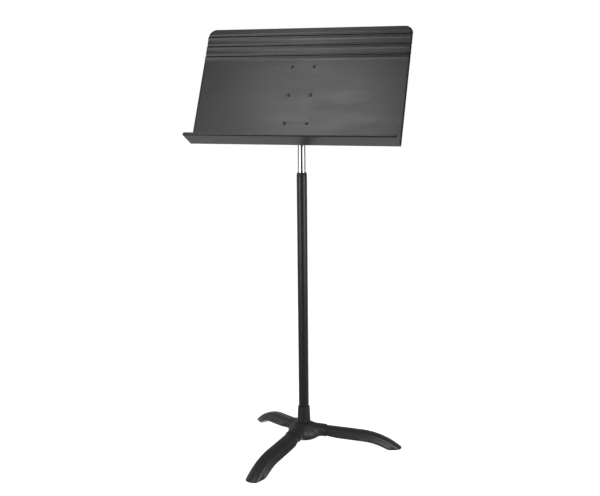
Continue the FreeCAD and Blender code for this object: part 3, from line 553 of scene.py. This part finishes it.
zinc_plate = plated("zinc_plate", 0.62, 0.34, (1.0, 1.0, 9.0))
head_top = -SCREW_SEAT - SCREW_HEAD_HEIGHT
screw_outline = [(KEY_RADIUS, head_top), (SCREW_HEAD_RADIUS * 0.62, head_top + 0.0001),
                 (SCREW_HEAD_RADIUS * 0.86, head_top + 0.0008),
                 (SCREW_HEAD_RADIUS * 0.97, head_top + 0.0019),
                 (SCREW_HEAD_RADIUS, -SCREW_SEAT), (SCREW_RADIUS, -SCREW_SEAT),
                 (SCREW_RADIUS, -SCREW_SEAT + SCREW_LENGTH - 0.0005),
                 (SCREW_RADIUS - 0.0005, -SCREW_SEAT + SCREW_LENGTH), (0, -SCREW_SEAT + SCREW_LENGTH),
                 (0, head_top + KEY_DEPTH), (KEY_RADIUS, head_top + KEY_DEPTH)]
nut_foot = LEG_WALL - LEG_FOOT_DEPTH
nut_outline = [(SCREW_RADIUS, nut_foot), (NUT_RADIUS - 0.0006, nut_foot), (NUT_RADIUS, nut_foot + 0.0005),
               (NUT_RADIUS, nut_foot + NUT_HEIGHT - 0.0005), (NUT_RADIUS - 0.0006, nut_foot + NUT_HEIGHT),
               (SCREW_RADIUS, nut_foot + NUT_HEIGHT)]

fixing_tree, graph, sizes = shape_tree("fixings_round_the_hub",
                                       {"Fixing": "Object", "Legs": "Int", "First turn": "Float"})
fixing_shape = graph.add("GeometryNodeObjectInfo", None, {"Object": sizes["Fixing"]}, out="Geometry")
places = graph.add("GeometryNodePoints", None, {"Count": sizes["Legs"]})
index = graph.add("GeometryNodeInputIndex")
turn = sizes["First turn"] + index * (2 * math.pi) / sizes["Legs"]
spin = graph.add("ShaderNodeCombineXYZ", None, {"Z": turn})
fixings = graph.add("GeometryNodeInstanceOnPoints", None,
                    {"Points": places, "Instance": fixing_shape, "Rotation": spin})
end_tree(graph, fixings, zinc_plate)


def fixing_round_the_hub(name, node, outline, sides):
    """One screw or nut at each leg, all in one piece that stands for a CAD node."""
    form = new_piece("fixing_form", moved(turned(outline, sides), screw_frame))
    values = {"Fixing": form, "Legs": len(LEG_NAMES), "First turn": FIRST_LEG_TURN}
    piece = settled_piece(grown(name, fixing_tree, values), name, zinc_plate)
    bpy.data.objects.remove(form)
    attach(piece, "base")
    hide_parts(node)


fixing_round_the_hub("leg_screws_zinc", "leg_screws", screw_outline, 30)
fixing_round_the_hub("leg_nuts_zinc", "leg_nuts", nut_outline, 6)


def refinish(material, *nodes):
    """Gives CAD nodes that stay as they are a finish of their own."""
    for node in nodes:
        slots = frame["nodes"][node].data.materials
        slots.clear()
        slots.append(material)


refinish(zinc_plate, "hub_bolt", "hub_washer", "tube_plug")

# ---- Column -------------------------------------------------------------------------------------
# A 25 mm steel tube, powder coated black, stands in the hub. A moulded sleeve covers the joint,
# and a moulded cap with a long spigot guides the mast at the top.
COLUMN_RADIUS = 0.0125
COLUMN_BORE = 0.0113
COLUMN_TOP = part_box("outer_tube")[1].z
SLEEVE_LOW, SLEEVE_HIGH = (corner.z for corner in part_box("column_sleeve"))
SLEEVE_FOOT_RADIUS = 0.0166
SLEEVE_SHOULDER_RADIUS = 0.0151
SLEEVE_NECK_RADIUS = 0.0144
SLEEVE_TOP_RADIUS = 0.0149
CAP_LOW, CAP_HIGH = (corner.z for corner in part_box("top_bushing"))
CAP_BORE = 0.00956
CAP_SHOULDER_RADIUS = 0.0113
CAP_TOP_RADIUS = 0.0101


def rounded(outline, radius, steps=3):
    """An outline with every corner made a small arc."""
    soft = []
    for i, corner in enumerate(outline):
        here = Vector(corner)
        before = Vector(outline[i - 1]) - here
        after = Vector(outline[(i + 1) % len(outline)]) - here
        cut = min(radius, before.length * 0.45, after.length * 0.45)
        start, end = here + before.normalized() * cut, here + after.normalized() * cut
        for k in range(steps + 1):
            share = k / steps
            soft.append(tuple(start.lerp(here, share).lerp(here.lerp(end, share), share)))
    return soft


def moulded(name, tone, roughness):
    """Moulded nylon: a fine spark-eroded grain and faint flow marks."""
    def colour(graph, place):
        flow = graph.noise(graph.stretched(place, 1.0, 1.0, 0.2), 120.0, 3.0)
        return graph.blend(flow, grey(tone * 0.85, 0.02), grey(tone * 1.15, 0.02))

    def spread(graph, place):
        return roughness + (graph.noise(place, 260.0, 3.0) - 0.5) * 0.2

    def grain(graph, place):
        return graph.noise(place, 1900.0, 2.0)

    return finish_material(name, colour, spread, grain, 0.4, 0.00006)


column_coat = powder_coat("column_black_coat", 0.017, 0.36, 700.0, 0.00006)
black_nylon = moulded("black_nylon", 0.017, 0.50)

tube_outline = [(COLUMN_BORE, COLUMN_FOOT), (COLUMN_SPIGOT_RADIUS, COLUMN_FOOT),
                (COLUMN_SPIGOT_RADIUS, SLEEVE_HIGH - 0.001), (COLUMN_RADIUS, SLEEVE_HIGH - 0.0002),
                (COLUMN_RADIUS, COLUMN_TOP), (COLUMN_BORE, COLUMN_TOP)]
column = new_piece("column_tube", turned(rounded(tube_outline, 0.0003), 128), column_coat)
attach(column, "base")
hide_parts("outer_tube")

sleeve_outline = [(COLUMN_SPIGOT_RADIUS, SLEEVE_LOW), (SLEEVE_FOOT_RADIUS - 0.0008, SLEEVE_LOW),
                  (SLEEVE_FOOT_RADIUS - 0.0008, SLEEVE_LOW + 0.0008),
                  (SLEEVE_FOOT_RADIUS, SLEEVE_LOW + 0.0011),
                  (SLEEVE_FOOT_RADIUS - 0.0003, SLEEVE_LOW + 0.006),
                  (SLEEVE_SHOULDER_RADIUS, SLEEVE_HIGH - 0.0085),
                  (SLEEVE_NECK_RADIUS, SLEEVE_HIGH - 0.0030), (SLEEVE_TOP_RADIUS, SLEEVE_HIGH - 0.0024),
                  (SLEEVE_TOP_RADIUS, SLEEVE_HIGH - 0.0006), (0.0143, SLEEVE_HIGH),
                  (0.0128, SLEEVE_HIGH), (COLUMN_SPIGOT_RADIUS, SLEEVE_HIGH - 0.0015)]
sleeve = new_piece("column_sleeve_moulded", turned(rounded(sleeve_outline, 0.0005), 128), black_nylon)
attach(sleeve, "base")
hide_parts("column_sleeve")

cap_outline = [(CAP_BORE, CAP_LOW), (COLUMN_BORE, CAP_LOW), (COLUMN_BORE, COLUMN_TOP),
               (COLUMN_RADIUS, COLUMN_TOP + 0.0002), (COLUMN_RADIUS, COLUMN_TOP + 0.0026),
               (CAP_SHOULDER_RADIUS, CAP_HIGH - 0.0010), (CAP_TOP_RADIUS + 0.0005, CAP_HIGH),
               (CAP_TOP_RADIUS, CAP_HIGH), (CAP_BORE, CAP_HIGH - 0.0006)]
cap = new_piece("column_cap", turned(rounded(cap_outline, 0.0004), 128), black_nylon)
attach(cap, "base")
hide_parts("top_bushing")

# ---- Mast ---------------------------------------------------------------------------------------
# A 19 mm steel tube, bright chromed, slides and turns in the column. A nylon sleeve with a spring
# ring grips the column from inside, and a plug, a pin and a split ring keep the sleeve on the mast.
MAST_RADIUS = 0.0095
MAST_BORE = 0.0083
MAST_LOW, MAST_HIGH = (corner.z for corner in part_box("inner_tube"))


def chromed(name):
    """Bright chrome over drawn tube: faint draw lines, a haze of fingermarks, fine scratches round it."""
    def colour(graph, place):
        haze = graph.noise(place, 35.0, 4.0, 0.6)
        return graph.blend(haze, (0.80, 0.81, 0.83, 1.0), (0.70, 0.71, 0.74, 1.0))

    def spread(graph, place):
        drawn = graph.noise(graph.stretched(place, 1.0, 1.0, 0.02), 1500.0, 2.0)
        haze = graph.step(graph.noise(place, 28.0, 4.0, 0.65), 0.5, 0.8)
        return 0.055 + drawn * 0.06 + haze * 0.07

    def lines(graph, place):
        return graph.noise(graph.stretched(place, 1.0, 1.0, 0.01), 1800.0, 2.0)

    return finish_material(name, colour, spread, lines, 0.12, 0.00001, Metallic=1.0)


mast_outline = [(MAST_BORE, MAST_LOW), (MAST_RADIUS, MAST_LOW), (MAST_RADIUS, MAST_HIGH),
                (MAST_BORE, MAST_HIGH)]
mast = new_piece("mast_tube", turned(rounded(mast_outline, 0.0003), 128), chromed("bright_chrome"))
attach(mast, "mast")
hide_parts("inner_tube")

refinish(moulded("natural_nylon", 0.55, 0.42), "clutch_sleeve", "clutch_plug", "friction_washers")
spring_steel = plated("spring_steel", 0.42, 0.38, (9.0, 1.0, 1.0))
refinish(spring_steel, "clutch_spring", "retaining_ring", "plug_pin", "head_pin", "spring_washers")

# ---- Tilt head ----------------------------------------------------------------------------------
# A die-cast head is pinned on the mast. Its barrel turns on the pivot bolt between the cheeks of
# the desk's bracket, and is painted black like the hub.
refinish(cast_black, "tilt_head")

# ---- Desk ---------------------------------------------------------------------------------------
# One aluminium sheet, 508 mm wide: cut out with round corners, pressed with three ribs, and folded
# twice for the ledge and its lip. It is powder coated satin black and riveted to its bracket.
tilt_joint = next(joint for joint in frame["joints"] if joint["name"] == "desk_tilt")
PIVOT = Vector(tilt_joint["pos_m"])
DESK_TILT = math.radians(-tilt_joint["range_deg"][0])
PIVOT_UP = 0.0905
PIVOT_DEPTH = 0.0333
DESK_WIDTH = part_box("desk_panel")[1].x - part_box("desk_panel")[0].x
DESK_HEIGHT = 0.303
DESK_SHEET = 0.0015
DESK_CORNER = 0.020
LEDGE_DEPTH = 0.055
LIP_HEIGHT = 0.0065
LIP_CORNER = 0.0048
LIP_BEND = 0.0012
LEDGE_BEND = 0.0020
RIB_LINES = (0.2300, 0.2568, 0.2830)
RIB_BULGE = 0.0019
RIB_DIP = 0.0014
RIB_START = -0.0082             # these heights are from the middle line of a rib
RIB_CREST = -0.0024
RIB_VALLEY = 0.0022
RIB_FINISH = 0.0072
ROW_PITCHES = (0.0005, 0.0003, 0.004, 0.0004)
RIB_ROW_PITCH = 0.0006
WALL_ROW_PITCH = 0.004
CORNER_ROWS = 24
on_desk = (Matrix.Translation(PIVOT) @ Matrix.Rotation(-DESK_TILT, 4, "X")
           @ Matrix.Translation((0, -PIVOT_DEPTH, -PIVOT_UP)))

lip_run = LIP_HEIGHT - DESK_SHEET - LIP_BEND
lip_bend_run = LIP_BEND * math.pi / 2
ledge_run = LEDGE_DEPTH - DESK_SHEET - LIP_BEND - LEDGE_BEND
ledge_bend_run = LEDGE_BEND * math.pi / 2
wall_run = DESK_HEIGHT - DESK_SHEET - LEDGE_BEND
RUNS = (lip_run, lip_bend_run, ledge_run, ledge_bend_run, wall_run)


def blank_rows():
    """Where the blank's rows lie along it: close together at the bends, the ribs and the corners."""
    places = [0.0]
    for run, pitch in zip(RUNS[:4], ROW_PITCHES):
        count = max(2, round(run / pitch))
        start = places[-1]
        places += [start + run * (i + 1) / count for i in range(count)]
    wall_start = places[-1]
    foot = DESK_SHEET + LEDGE_BEND
    height = foot
    while height < DESK_HEIGHT - DESK_CORNER - 1e-6:
        near_rib = any(-0.010 < height - line < 0.008 for line in RIB_LINES)
        height = min(height + (RIB_ROW_PITCH if near_rib else WALL_ROW_PITCH), DESK_HEIGHT - DESK_CORNER)
        places.append(wall_start + height - foot)
    for i in range(1, CORNER_ROWS + 1):
        height = DESK_HEIGHT - DESK_CORNER + DESK_CORNER * math.sin(math.pi / 2 * i / CORNER_ROWS)
        places.append(wall_start + height - foot)
    return places


def corner_loss(distance, radius):
    """How far a round corner cuts in, at a distance from the end."""
    if distance >= radius:
        return 0.0
    return radius - math.sqrt(max(radius ** 2 - (radius - distance) ** 2, 0.0))


def desk_blank(columns=96):
    """The flat sheet before pressing: X is its width, and Z runs from the lip to the top edge."""
    form = bmesh.new()
    rows = []
    places = blank_rows()
    for place in places:
        loss = max(corner_loss(place, LIP_CORNER), corner_loss(places[-1] - place, DESK_CORNER))
        half = DESK_WIDTH / 2 - loss
        across = [half * (2 * i / columns - 1) for i in range(columns + 1)]
        rows.append([form.verts.new((x, 0, place)) for x in across])
    for low, high in zip(rows, rows[1:]):
        for i in range(columns):
            form.faces.new((low[i], low[i + 1], high[i + 1], high[i]))
    mesh = bpy.data.meshes.new("blank")
    form.to_mesh(mesh)
    form.free()
    return mesh


def folded(graph, run):
    """Depth and height of the sheet's front at a distance along the blank: straight runs and bends."""
    def on(start, length):
        past = graph.math("MAXIMUM", run - start, 0.0)
        return graph.math("MINIMUM", past, length)

    first = on(0.0, lip_run)
    turn_in = on(lip_run, lip_bend_run) / LIP_BEND
    ledge = on(lip_run + lip_bend_run, ledge_run)
    turn_up = on(sum(RUNS[:3]), ledge_bend_run) / LEDGE_BEND
    wall = on(sum(RUNS[:4]), wall_run)
    depth = ((1 - graph.math("COSINE", turn_in)) * LIP_BEND + ledge
             + graph.math("SINE", turn_up) * LEDGE_BEND - (LEDGE_DEPTH - DESK_SHEET))
    height = (LIP_HEIGHT - first - graph.math("SINE", turn_in) * LIP_BEND
              + (1 - graph.math("COSINE", turn_up)) * LEDGE_BEND + wall)
    return depth, height


def powder_coated_desk(name):
    """The desk's own coat: satin, with a soft cloudy tone, fine peel, and dull paper rubs."""
    def colour(graph, place):
        cloud = graph.noise(place, 7.0, 3.0, 0.55)
        fleck = graph.noise(place, 1600.0, 2.0)
        base = graph.blend(cloud * 0.55 + fleck * 0.45, grey(0.008, 0.01), grey(0.014, 0.03))
        rubs = graph.noise(graph.stretched(place, 0.35, 1.0, 1.0), 38.0, 5.0, 0.6)
        return graph.blend(graph.step(rubs, 0.60, 0.82) * 0.4, base, grey(0.022, 0.02))

    def spread(graph, place):
        rubs = graph.noise(graph.stretched(place, 0.3, 1.0, 1.0), 30.0, 4.0, 0.6)
        return 0.355 + (rubs - 0.5) * 0.13 + (graph.noise(place, 420.0, 2.0) - 0.5) * 0.14

    def skin(graph, place):
        return graph.noise(place, 850.0, 2.0) * 0.7 + graph.noise(place, 2300.0, 1.0) * 0.3

    return finish_material(name, colour, spread, skin, 0.5, 0.00008)


desk_coat = powder_coated_desk("desk_black_coat")
tree, graph, sizes = shape_tree("pressed_and_folded_sheet",
                                {"Blank": "Geometry", "Rib bulge": "Float", "Rib dip": "Float"})
spot = graph.add("ShaderNodeSeparateXYZ", None, {0: graph.add("GeometryNodeInputPosition")})
depth, height = folded(graph, spot.other("Z"))
for line in RIB_LINES:
    rising = graph.step(height, line + RIB_START, line + RIB_CREST)
    falling = graph.step(height, line + RIB_CREST, line + RIB_VALLEY)
    returning = graph.step(height, line + RIB_VALLEY, line + RIB_FINISH)
    depth = depth - rising * sizes["Rib bulge"] + falling * (sizes["Rib bulge"] + sizes["Rib dip"])
    depth = depth - returning * sizes["Rib dip"]
spot_on_front = graph.add("ShaderNodeCombineXYZ", None, {"X": spot, "Y": depth, "Z": height})
pressed = graph.add("GeometryNodeSetPosition", None,
                    {"Geometry": sizes["Blank"], "Position": spot_on_front})
end_tree(graph, pressed, desk_coat)
sheet = grown("desk_form", tree, {"Rib bulge": RIB_BULGE, "Rib dip": RIB_DIP}, desk_blank())
sheet.data.transform(on_desk)
thickness = sheet.modifiers.new("sheet", "SOLIDIFY")
thickness.thickness = DESK_SHEET
thickness.offset = -1.0
thickness.use_even_offset = True
edges = sheet.modifiers.new("broken edges", "BEVEL")
edges.width = 0.0004
edges.segments = 2
edges.limit_method = "ANGLE"
edges.angle_limit = math.radians(60.0)
desk = settled_piece(settle(sheet), "desk_sheet", desk_coat)
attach(desk, "desk")
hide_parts("desk_panel")

# ---- Rivets -------------------------------------------------------------------------------------
# Six steel rivets join the desk to its bracket, in two upright rows. Their domed heads are on the
# desk's front and their flat tails behind, and they are painted with the desk.
RIVET_ACROSS = 0.054
RIVET_LOWEST = 0.0545
RIVET_PITCH = 0.0725
RIVET_HEAD_RADIUS = 0.0043
RIVET_HEAD_HEIGHT = 0.0019
RIVET_SHANK_RADIUS = 0.0024
RIVET_TAIL_RADIUS = 0.0036
RIVET_TAIL_HEIGHT = 0.0015
RIVET_GRIP = 0.0035
RIVET_ROWS = 3
DOME_STEPS = 7


def rivet_outline():
    """Radius and height round half a rivet: domed head, shank, and flat tail."""
    turns = [math.pi / 2 * i / DOME_STEPS for i in range(DOME_STEPS + 1)]
    dome = [(RIVET_HEAD_RADIUS * math.sin(t), -RIVET_HEAD_HEIGHT * math.cos(t)) for t in turns]
    tail = RIVET_GRIP + RIVET_TAIL_HEIGHT
    return dome + [(RIVET_HEAD_RADIUS - 0.0001, 0.0001), (RIVET_SHANK_RADIUS, 0.0001),
                   (RIVET_SHANK_RADIUS, RIVET_GRIP), (RIVET_TAIL_RADIUS, RIVET_GRIP),
                   (RIVET_TAIL_RADIUS, RIVET_GRIP + RIVET_TAIL_HEIGHT * 0.5),
                   (RIVET_TAIL_RADIUS * 0.75, tail - 0.0002), (RIVET_TAIL_RADIUS * 0.3, tail),
                   (0, tail - 0.0003)]


rivet_black = powder_coat("rivet_black", 0.022, 0.38, 900.0, 0.00006)
rivet_mesh = turned(rivet_outline(), 32, looped=False)
rivet = new_piece("rivet_form", moved(rivet_mesh, Matrix.Rotation(-math.pi / 2, 4, "X")))
tree, graph, sizes = shape_tree("rivet_rows", {"Rivet": "Object", "Across": "Float", "Pitch": "Float",
                                               "Lowest": "Float", "Rows": "Int"})
rivet_shape = graph.add("GeometryNodeObjectInfo", None, {"Object": sizes["Rivet"]}, out="Geometry")
index = graph.add("GeometryNodeInputIndex")
side = graph.math("MODULO", index, 2.0) - 0.5
row = graph.math("FLOOR", index * 0.5)
spot = graph.add("ShaderNodeCombineXYZ", None,
                 {"X": side * sizes["Across"], "Z": sizes["Lowest"] + row * sizes["Pitch"]})
places = graph.add("GeometryNodePoints", None, {"Count": sizes["Rows"] * 2.0, "Position": spot})
rivets = graph.add("GeometryNodeInstanceOnPoints", None, {"Points": places, "Instance": rivet_shape})
end_tree(graph, rivets, rivet_black)
rows = grown("rivet_rows", tree, {"Rivet": rivet, "Across": RIVET_ACROSS, "Pitch": RIVET_PITCH,
                                  "Lowest": RIVET_LOWEST, "Rows": RIVET_ROWS})
bpy.data.objects.remove(rivet)
rows.data.transform(on_desk)
rivets = settled_piece(rows, "desk_rivet_heads", rivet_black)
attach(rivets, "desk")
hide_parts("desk_rivets")

# ---- Bracket and pivot --------------------------------------------------------------------------
# A pressed steel channel is riveted to the back of the desk. A zinc-plated bolt goes through its
# two cheeks and the tilt head, with flat washers, two coned spring washers and a lock nut.
refinish(powder_coat("bracket_black_coat", 0.030, 0.42, 800.0, 0.0001), "desk_bracket")
refinish(zinc_plate, "pivot_bolt", "pivot_nut", "pivot_washers")

# ---- Floor, light and camera --------------------------------------------------------------------
# A plain pale floor in a white surround, which show only to the camera. Two tall soft boxes stand in
# front to either side, a narrower one behind to the left, and a small one hangs high in front.
CAMERA_AWAY = 2.2912            # metres from the column's axis, level with the floor
CAMERA_ROUND = math.radians(16.976)
CAMERA_HEIGHT = 0.9360
LOOK_ROUND = math.radians(17.124)
LOOK_DOWN = math.radians(10.485)
LOOK_ROLL = math.radians(-0.564)
LENS = 57.64
SURROUND_RADIUS = 14.0
FLOOR_DROP = 0.0002             # keeps the floor just clear of the foot pads


def camera_only(thing):
    """Part of the stage: seen by the camera, with no shadow and in no reflection."""
    for ray in ("visible_diffuse", "visible_glossy", "visible_transmission", "visible_shadow"):
        setattr(thing, ray, False)


def disc(radius, height, rings=24):
    """A flat disc that faces up, with its rings closer together near the middle."""
    outline = [(radius * (i / rings) ** 2, height) for i in range(rings + 1)]
    form = bmesh.new()
    form.from_mesh(turned(outline, 96, looped=False))
    bmesh.ops.delete(form, geom=[f for f in form.faces if len(f.verts) > 4], context="FACES")
    if sum(f.normal.z for f in form.faces) < 0:
        bmesh.ops.reverse_faces(form, faces=form.faces)
    mesh = bpy.data.meshes.new("disc")
    form.to_mesh(mesh)
    form.free()
    return mesh


def floor_material():
    """Pale paper floor. It glows a little, more so far off, so that it meets the surround."""
    material = bpy.data.materials.new("pale_floor")
    material.use_nodes = True
    graph = Graph(material.node_tree)
    shader = material.node_tree.nodes["Principled BSDF"]
    place = graph.add("ShaderNodeTexCoord", out="Object")
    away = graph.add("ShaderNodeVectorMath", {"operation": "LENGTH"}, {0: place}, out="Value")
    glow = graph.step(away, 0.4, 4.0, 0.93, 1.0)
    tone = graph.add("ShaderNodeCombineColor", None, {0: glow, 1: glow, 2: glow})
    graph.feed(shader, "Base Color", grey(0.80))
    graph.feed(shader, "Roughness", 0.9)
    graph.feed(shader, "Emission Color", tone)
    graph.feed(shader, "Emission Strength", 1.0)
    return material


def surround_material():
    material = bpy.data.materials.new("white_surround")
    material.use_nodes = True
    tree = material.node_tree
    tree.nodes.clear()
    graph = Graph(tree)
    white = graph.add("ShaderNodeEmission", None, {"Color": grey(1.0), "Strength": 1.0})
    graph.add("ShaderNodeOutputMaterial", None, {"Surface": white})
    return material


floor = new_piece("floor", disc(SURROUND_RADIUS, -FLOOR_DROP), floor_material())
camera_only(floor)
turns = [math.pi * i / 32 for i in range(33)]
sphere = [(SURROUND_RADIUS * math.sin(t), -SURROUND_RADIUS * math.cos(t)) for t in turns]
surround = new_piece("surround", turned(sphere, 64, looped=False), surround_material())
camera_only(surround)

world = bpy.data.worlds.new("studio")
bpy.context.scene.world = world
world.use_nodes = True
graph = Graph(world.node_tree)
view = graph.add("ShaderNodeSeparateXYZ", None, {0: graph.add("ShaderNodeTexCoord", out="Generated")})
# What the stand reflects besides the boxes: a back wall, a dim ceiling, and the floor.
behind = graph.step(view.other("Y"), 0.2, 0.9, 0.08, 0.42)
overhead = graph.step(view.other("Z"), 0.05, 0.5, 1.0, 0.25)
floor_far = graph.step(view.other("Z"), -0.30, -0.08, 0.75, 0.0) * graph.step(view.other("Y"), 0.4, 0.75)
floor_near = graph.step(view.other("Z"), -0.5, -0.1, 0.22, 0.0)
steep = graph.step(view.other("Z"), -0.75, -0.5, 0.3, 1.0)
background = world.node_tree.nodes["Background"]
graph.feed(background, "Strength", behind * overhead + floor_far * steep + floor_near)
graph.feed(background, "Color", grey(1.0))


def soft_box(name, round_angle, away, height, width, tall, aim, radiance):
    """A soft box at an angle round the stand from the camera's side, aimed at a height on the axis."""
    light = bpy.data.lights.new(name, "AREA")
    light.shape = "RECTANGLE"
    light.size = width
    light.size_y = tall
    light.energy = radiance * math.pi * width * tall
    box = bpy.data.objects.new(name, light)
    bpy.context.scene.collection.objects.link(box)
    turn = CAMERA_ROUND + math.radians(round_angle)
    box.location = (away * math.sin(turn), -away * math.cos(turn), height)
    box.rotation_mode = "QUATERNION"
    box.rotation_quaternion = (Vector((0, 0, aim)) - box.location).to_track_quat("-Z", "Y")
    box.visible_camera = False
    return box


soft_box("soft_box_left", -52.0, 2.3, 1.25, 1.5, 2.3, 0.85, 3.0)
soft_box("soft_box_right", 54.0, 2.3, 1.25, 1.5, 2.3, 0.85, 3.4)
soft_box("soft_box_back", -118.0, 2.3, 1.15, 0.9, 2.0, 0.50, 1.0)
soft_box("soft_box_high", -37.5, 1.43, 2.40, 0.45, 0.45, 0.85, 14.5)

eye = bpy.data.objects.new("camera", bpy.data.cameras.new("camera"))
bpy.context.scene.collection.objects.link(eye)
eye.data.lens = LENS
eye.data.clip_end = 60.0
ahead = Vector((-math.sin(LOOK_ROUND) * math.cos(LOOK_DOWN),
                math.cos(LOOK_ROUND) * math.cos(LOOK_DOWN), -math.sin(LOOK_DOWN)))
level = Vector((math.cos(LOOK_ROUND), math.sin(LOOK_ROUND), 0))
upward = level.cross(ahead)
right = level * math.cos(LOOK_ROLL) + upward * math.sin(LOOK_ROLL)
top = upward * math.cos(LOOK_ROLL) - level * math.sin(LOOK_ROLL)
eye.rotation_mode = "QUATERNION"
eye.rotation_quaternion = Matrix((right, top, -ahead)).transposed().to_quaternion()
eye.location = (CAMERA_AWAY * math.sin(CAMERA_ROUND), -CAMERA_AWAY * math.cos(CAMERA_ROUND),
                CAMERA_HEIGHT)
bpy.context.scene.camera = eye
bpy.context.scene.view_settings.view_transform = "Standard"
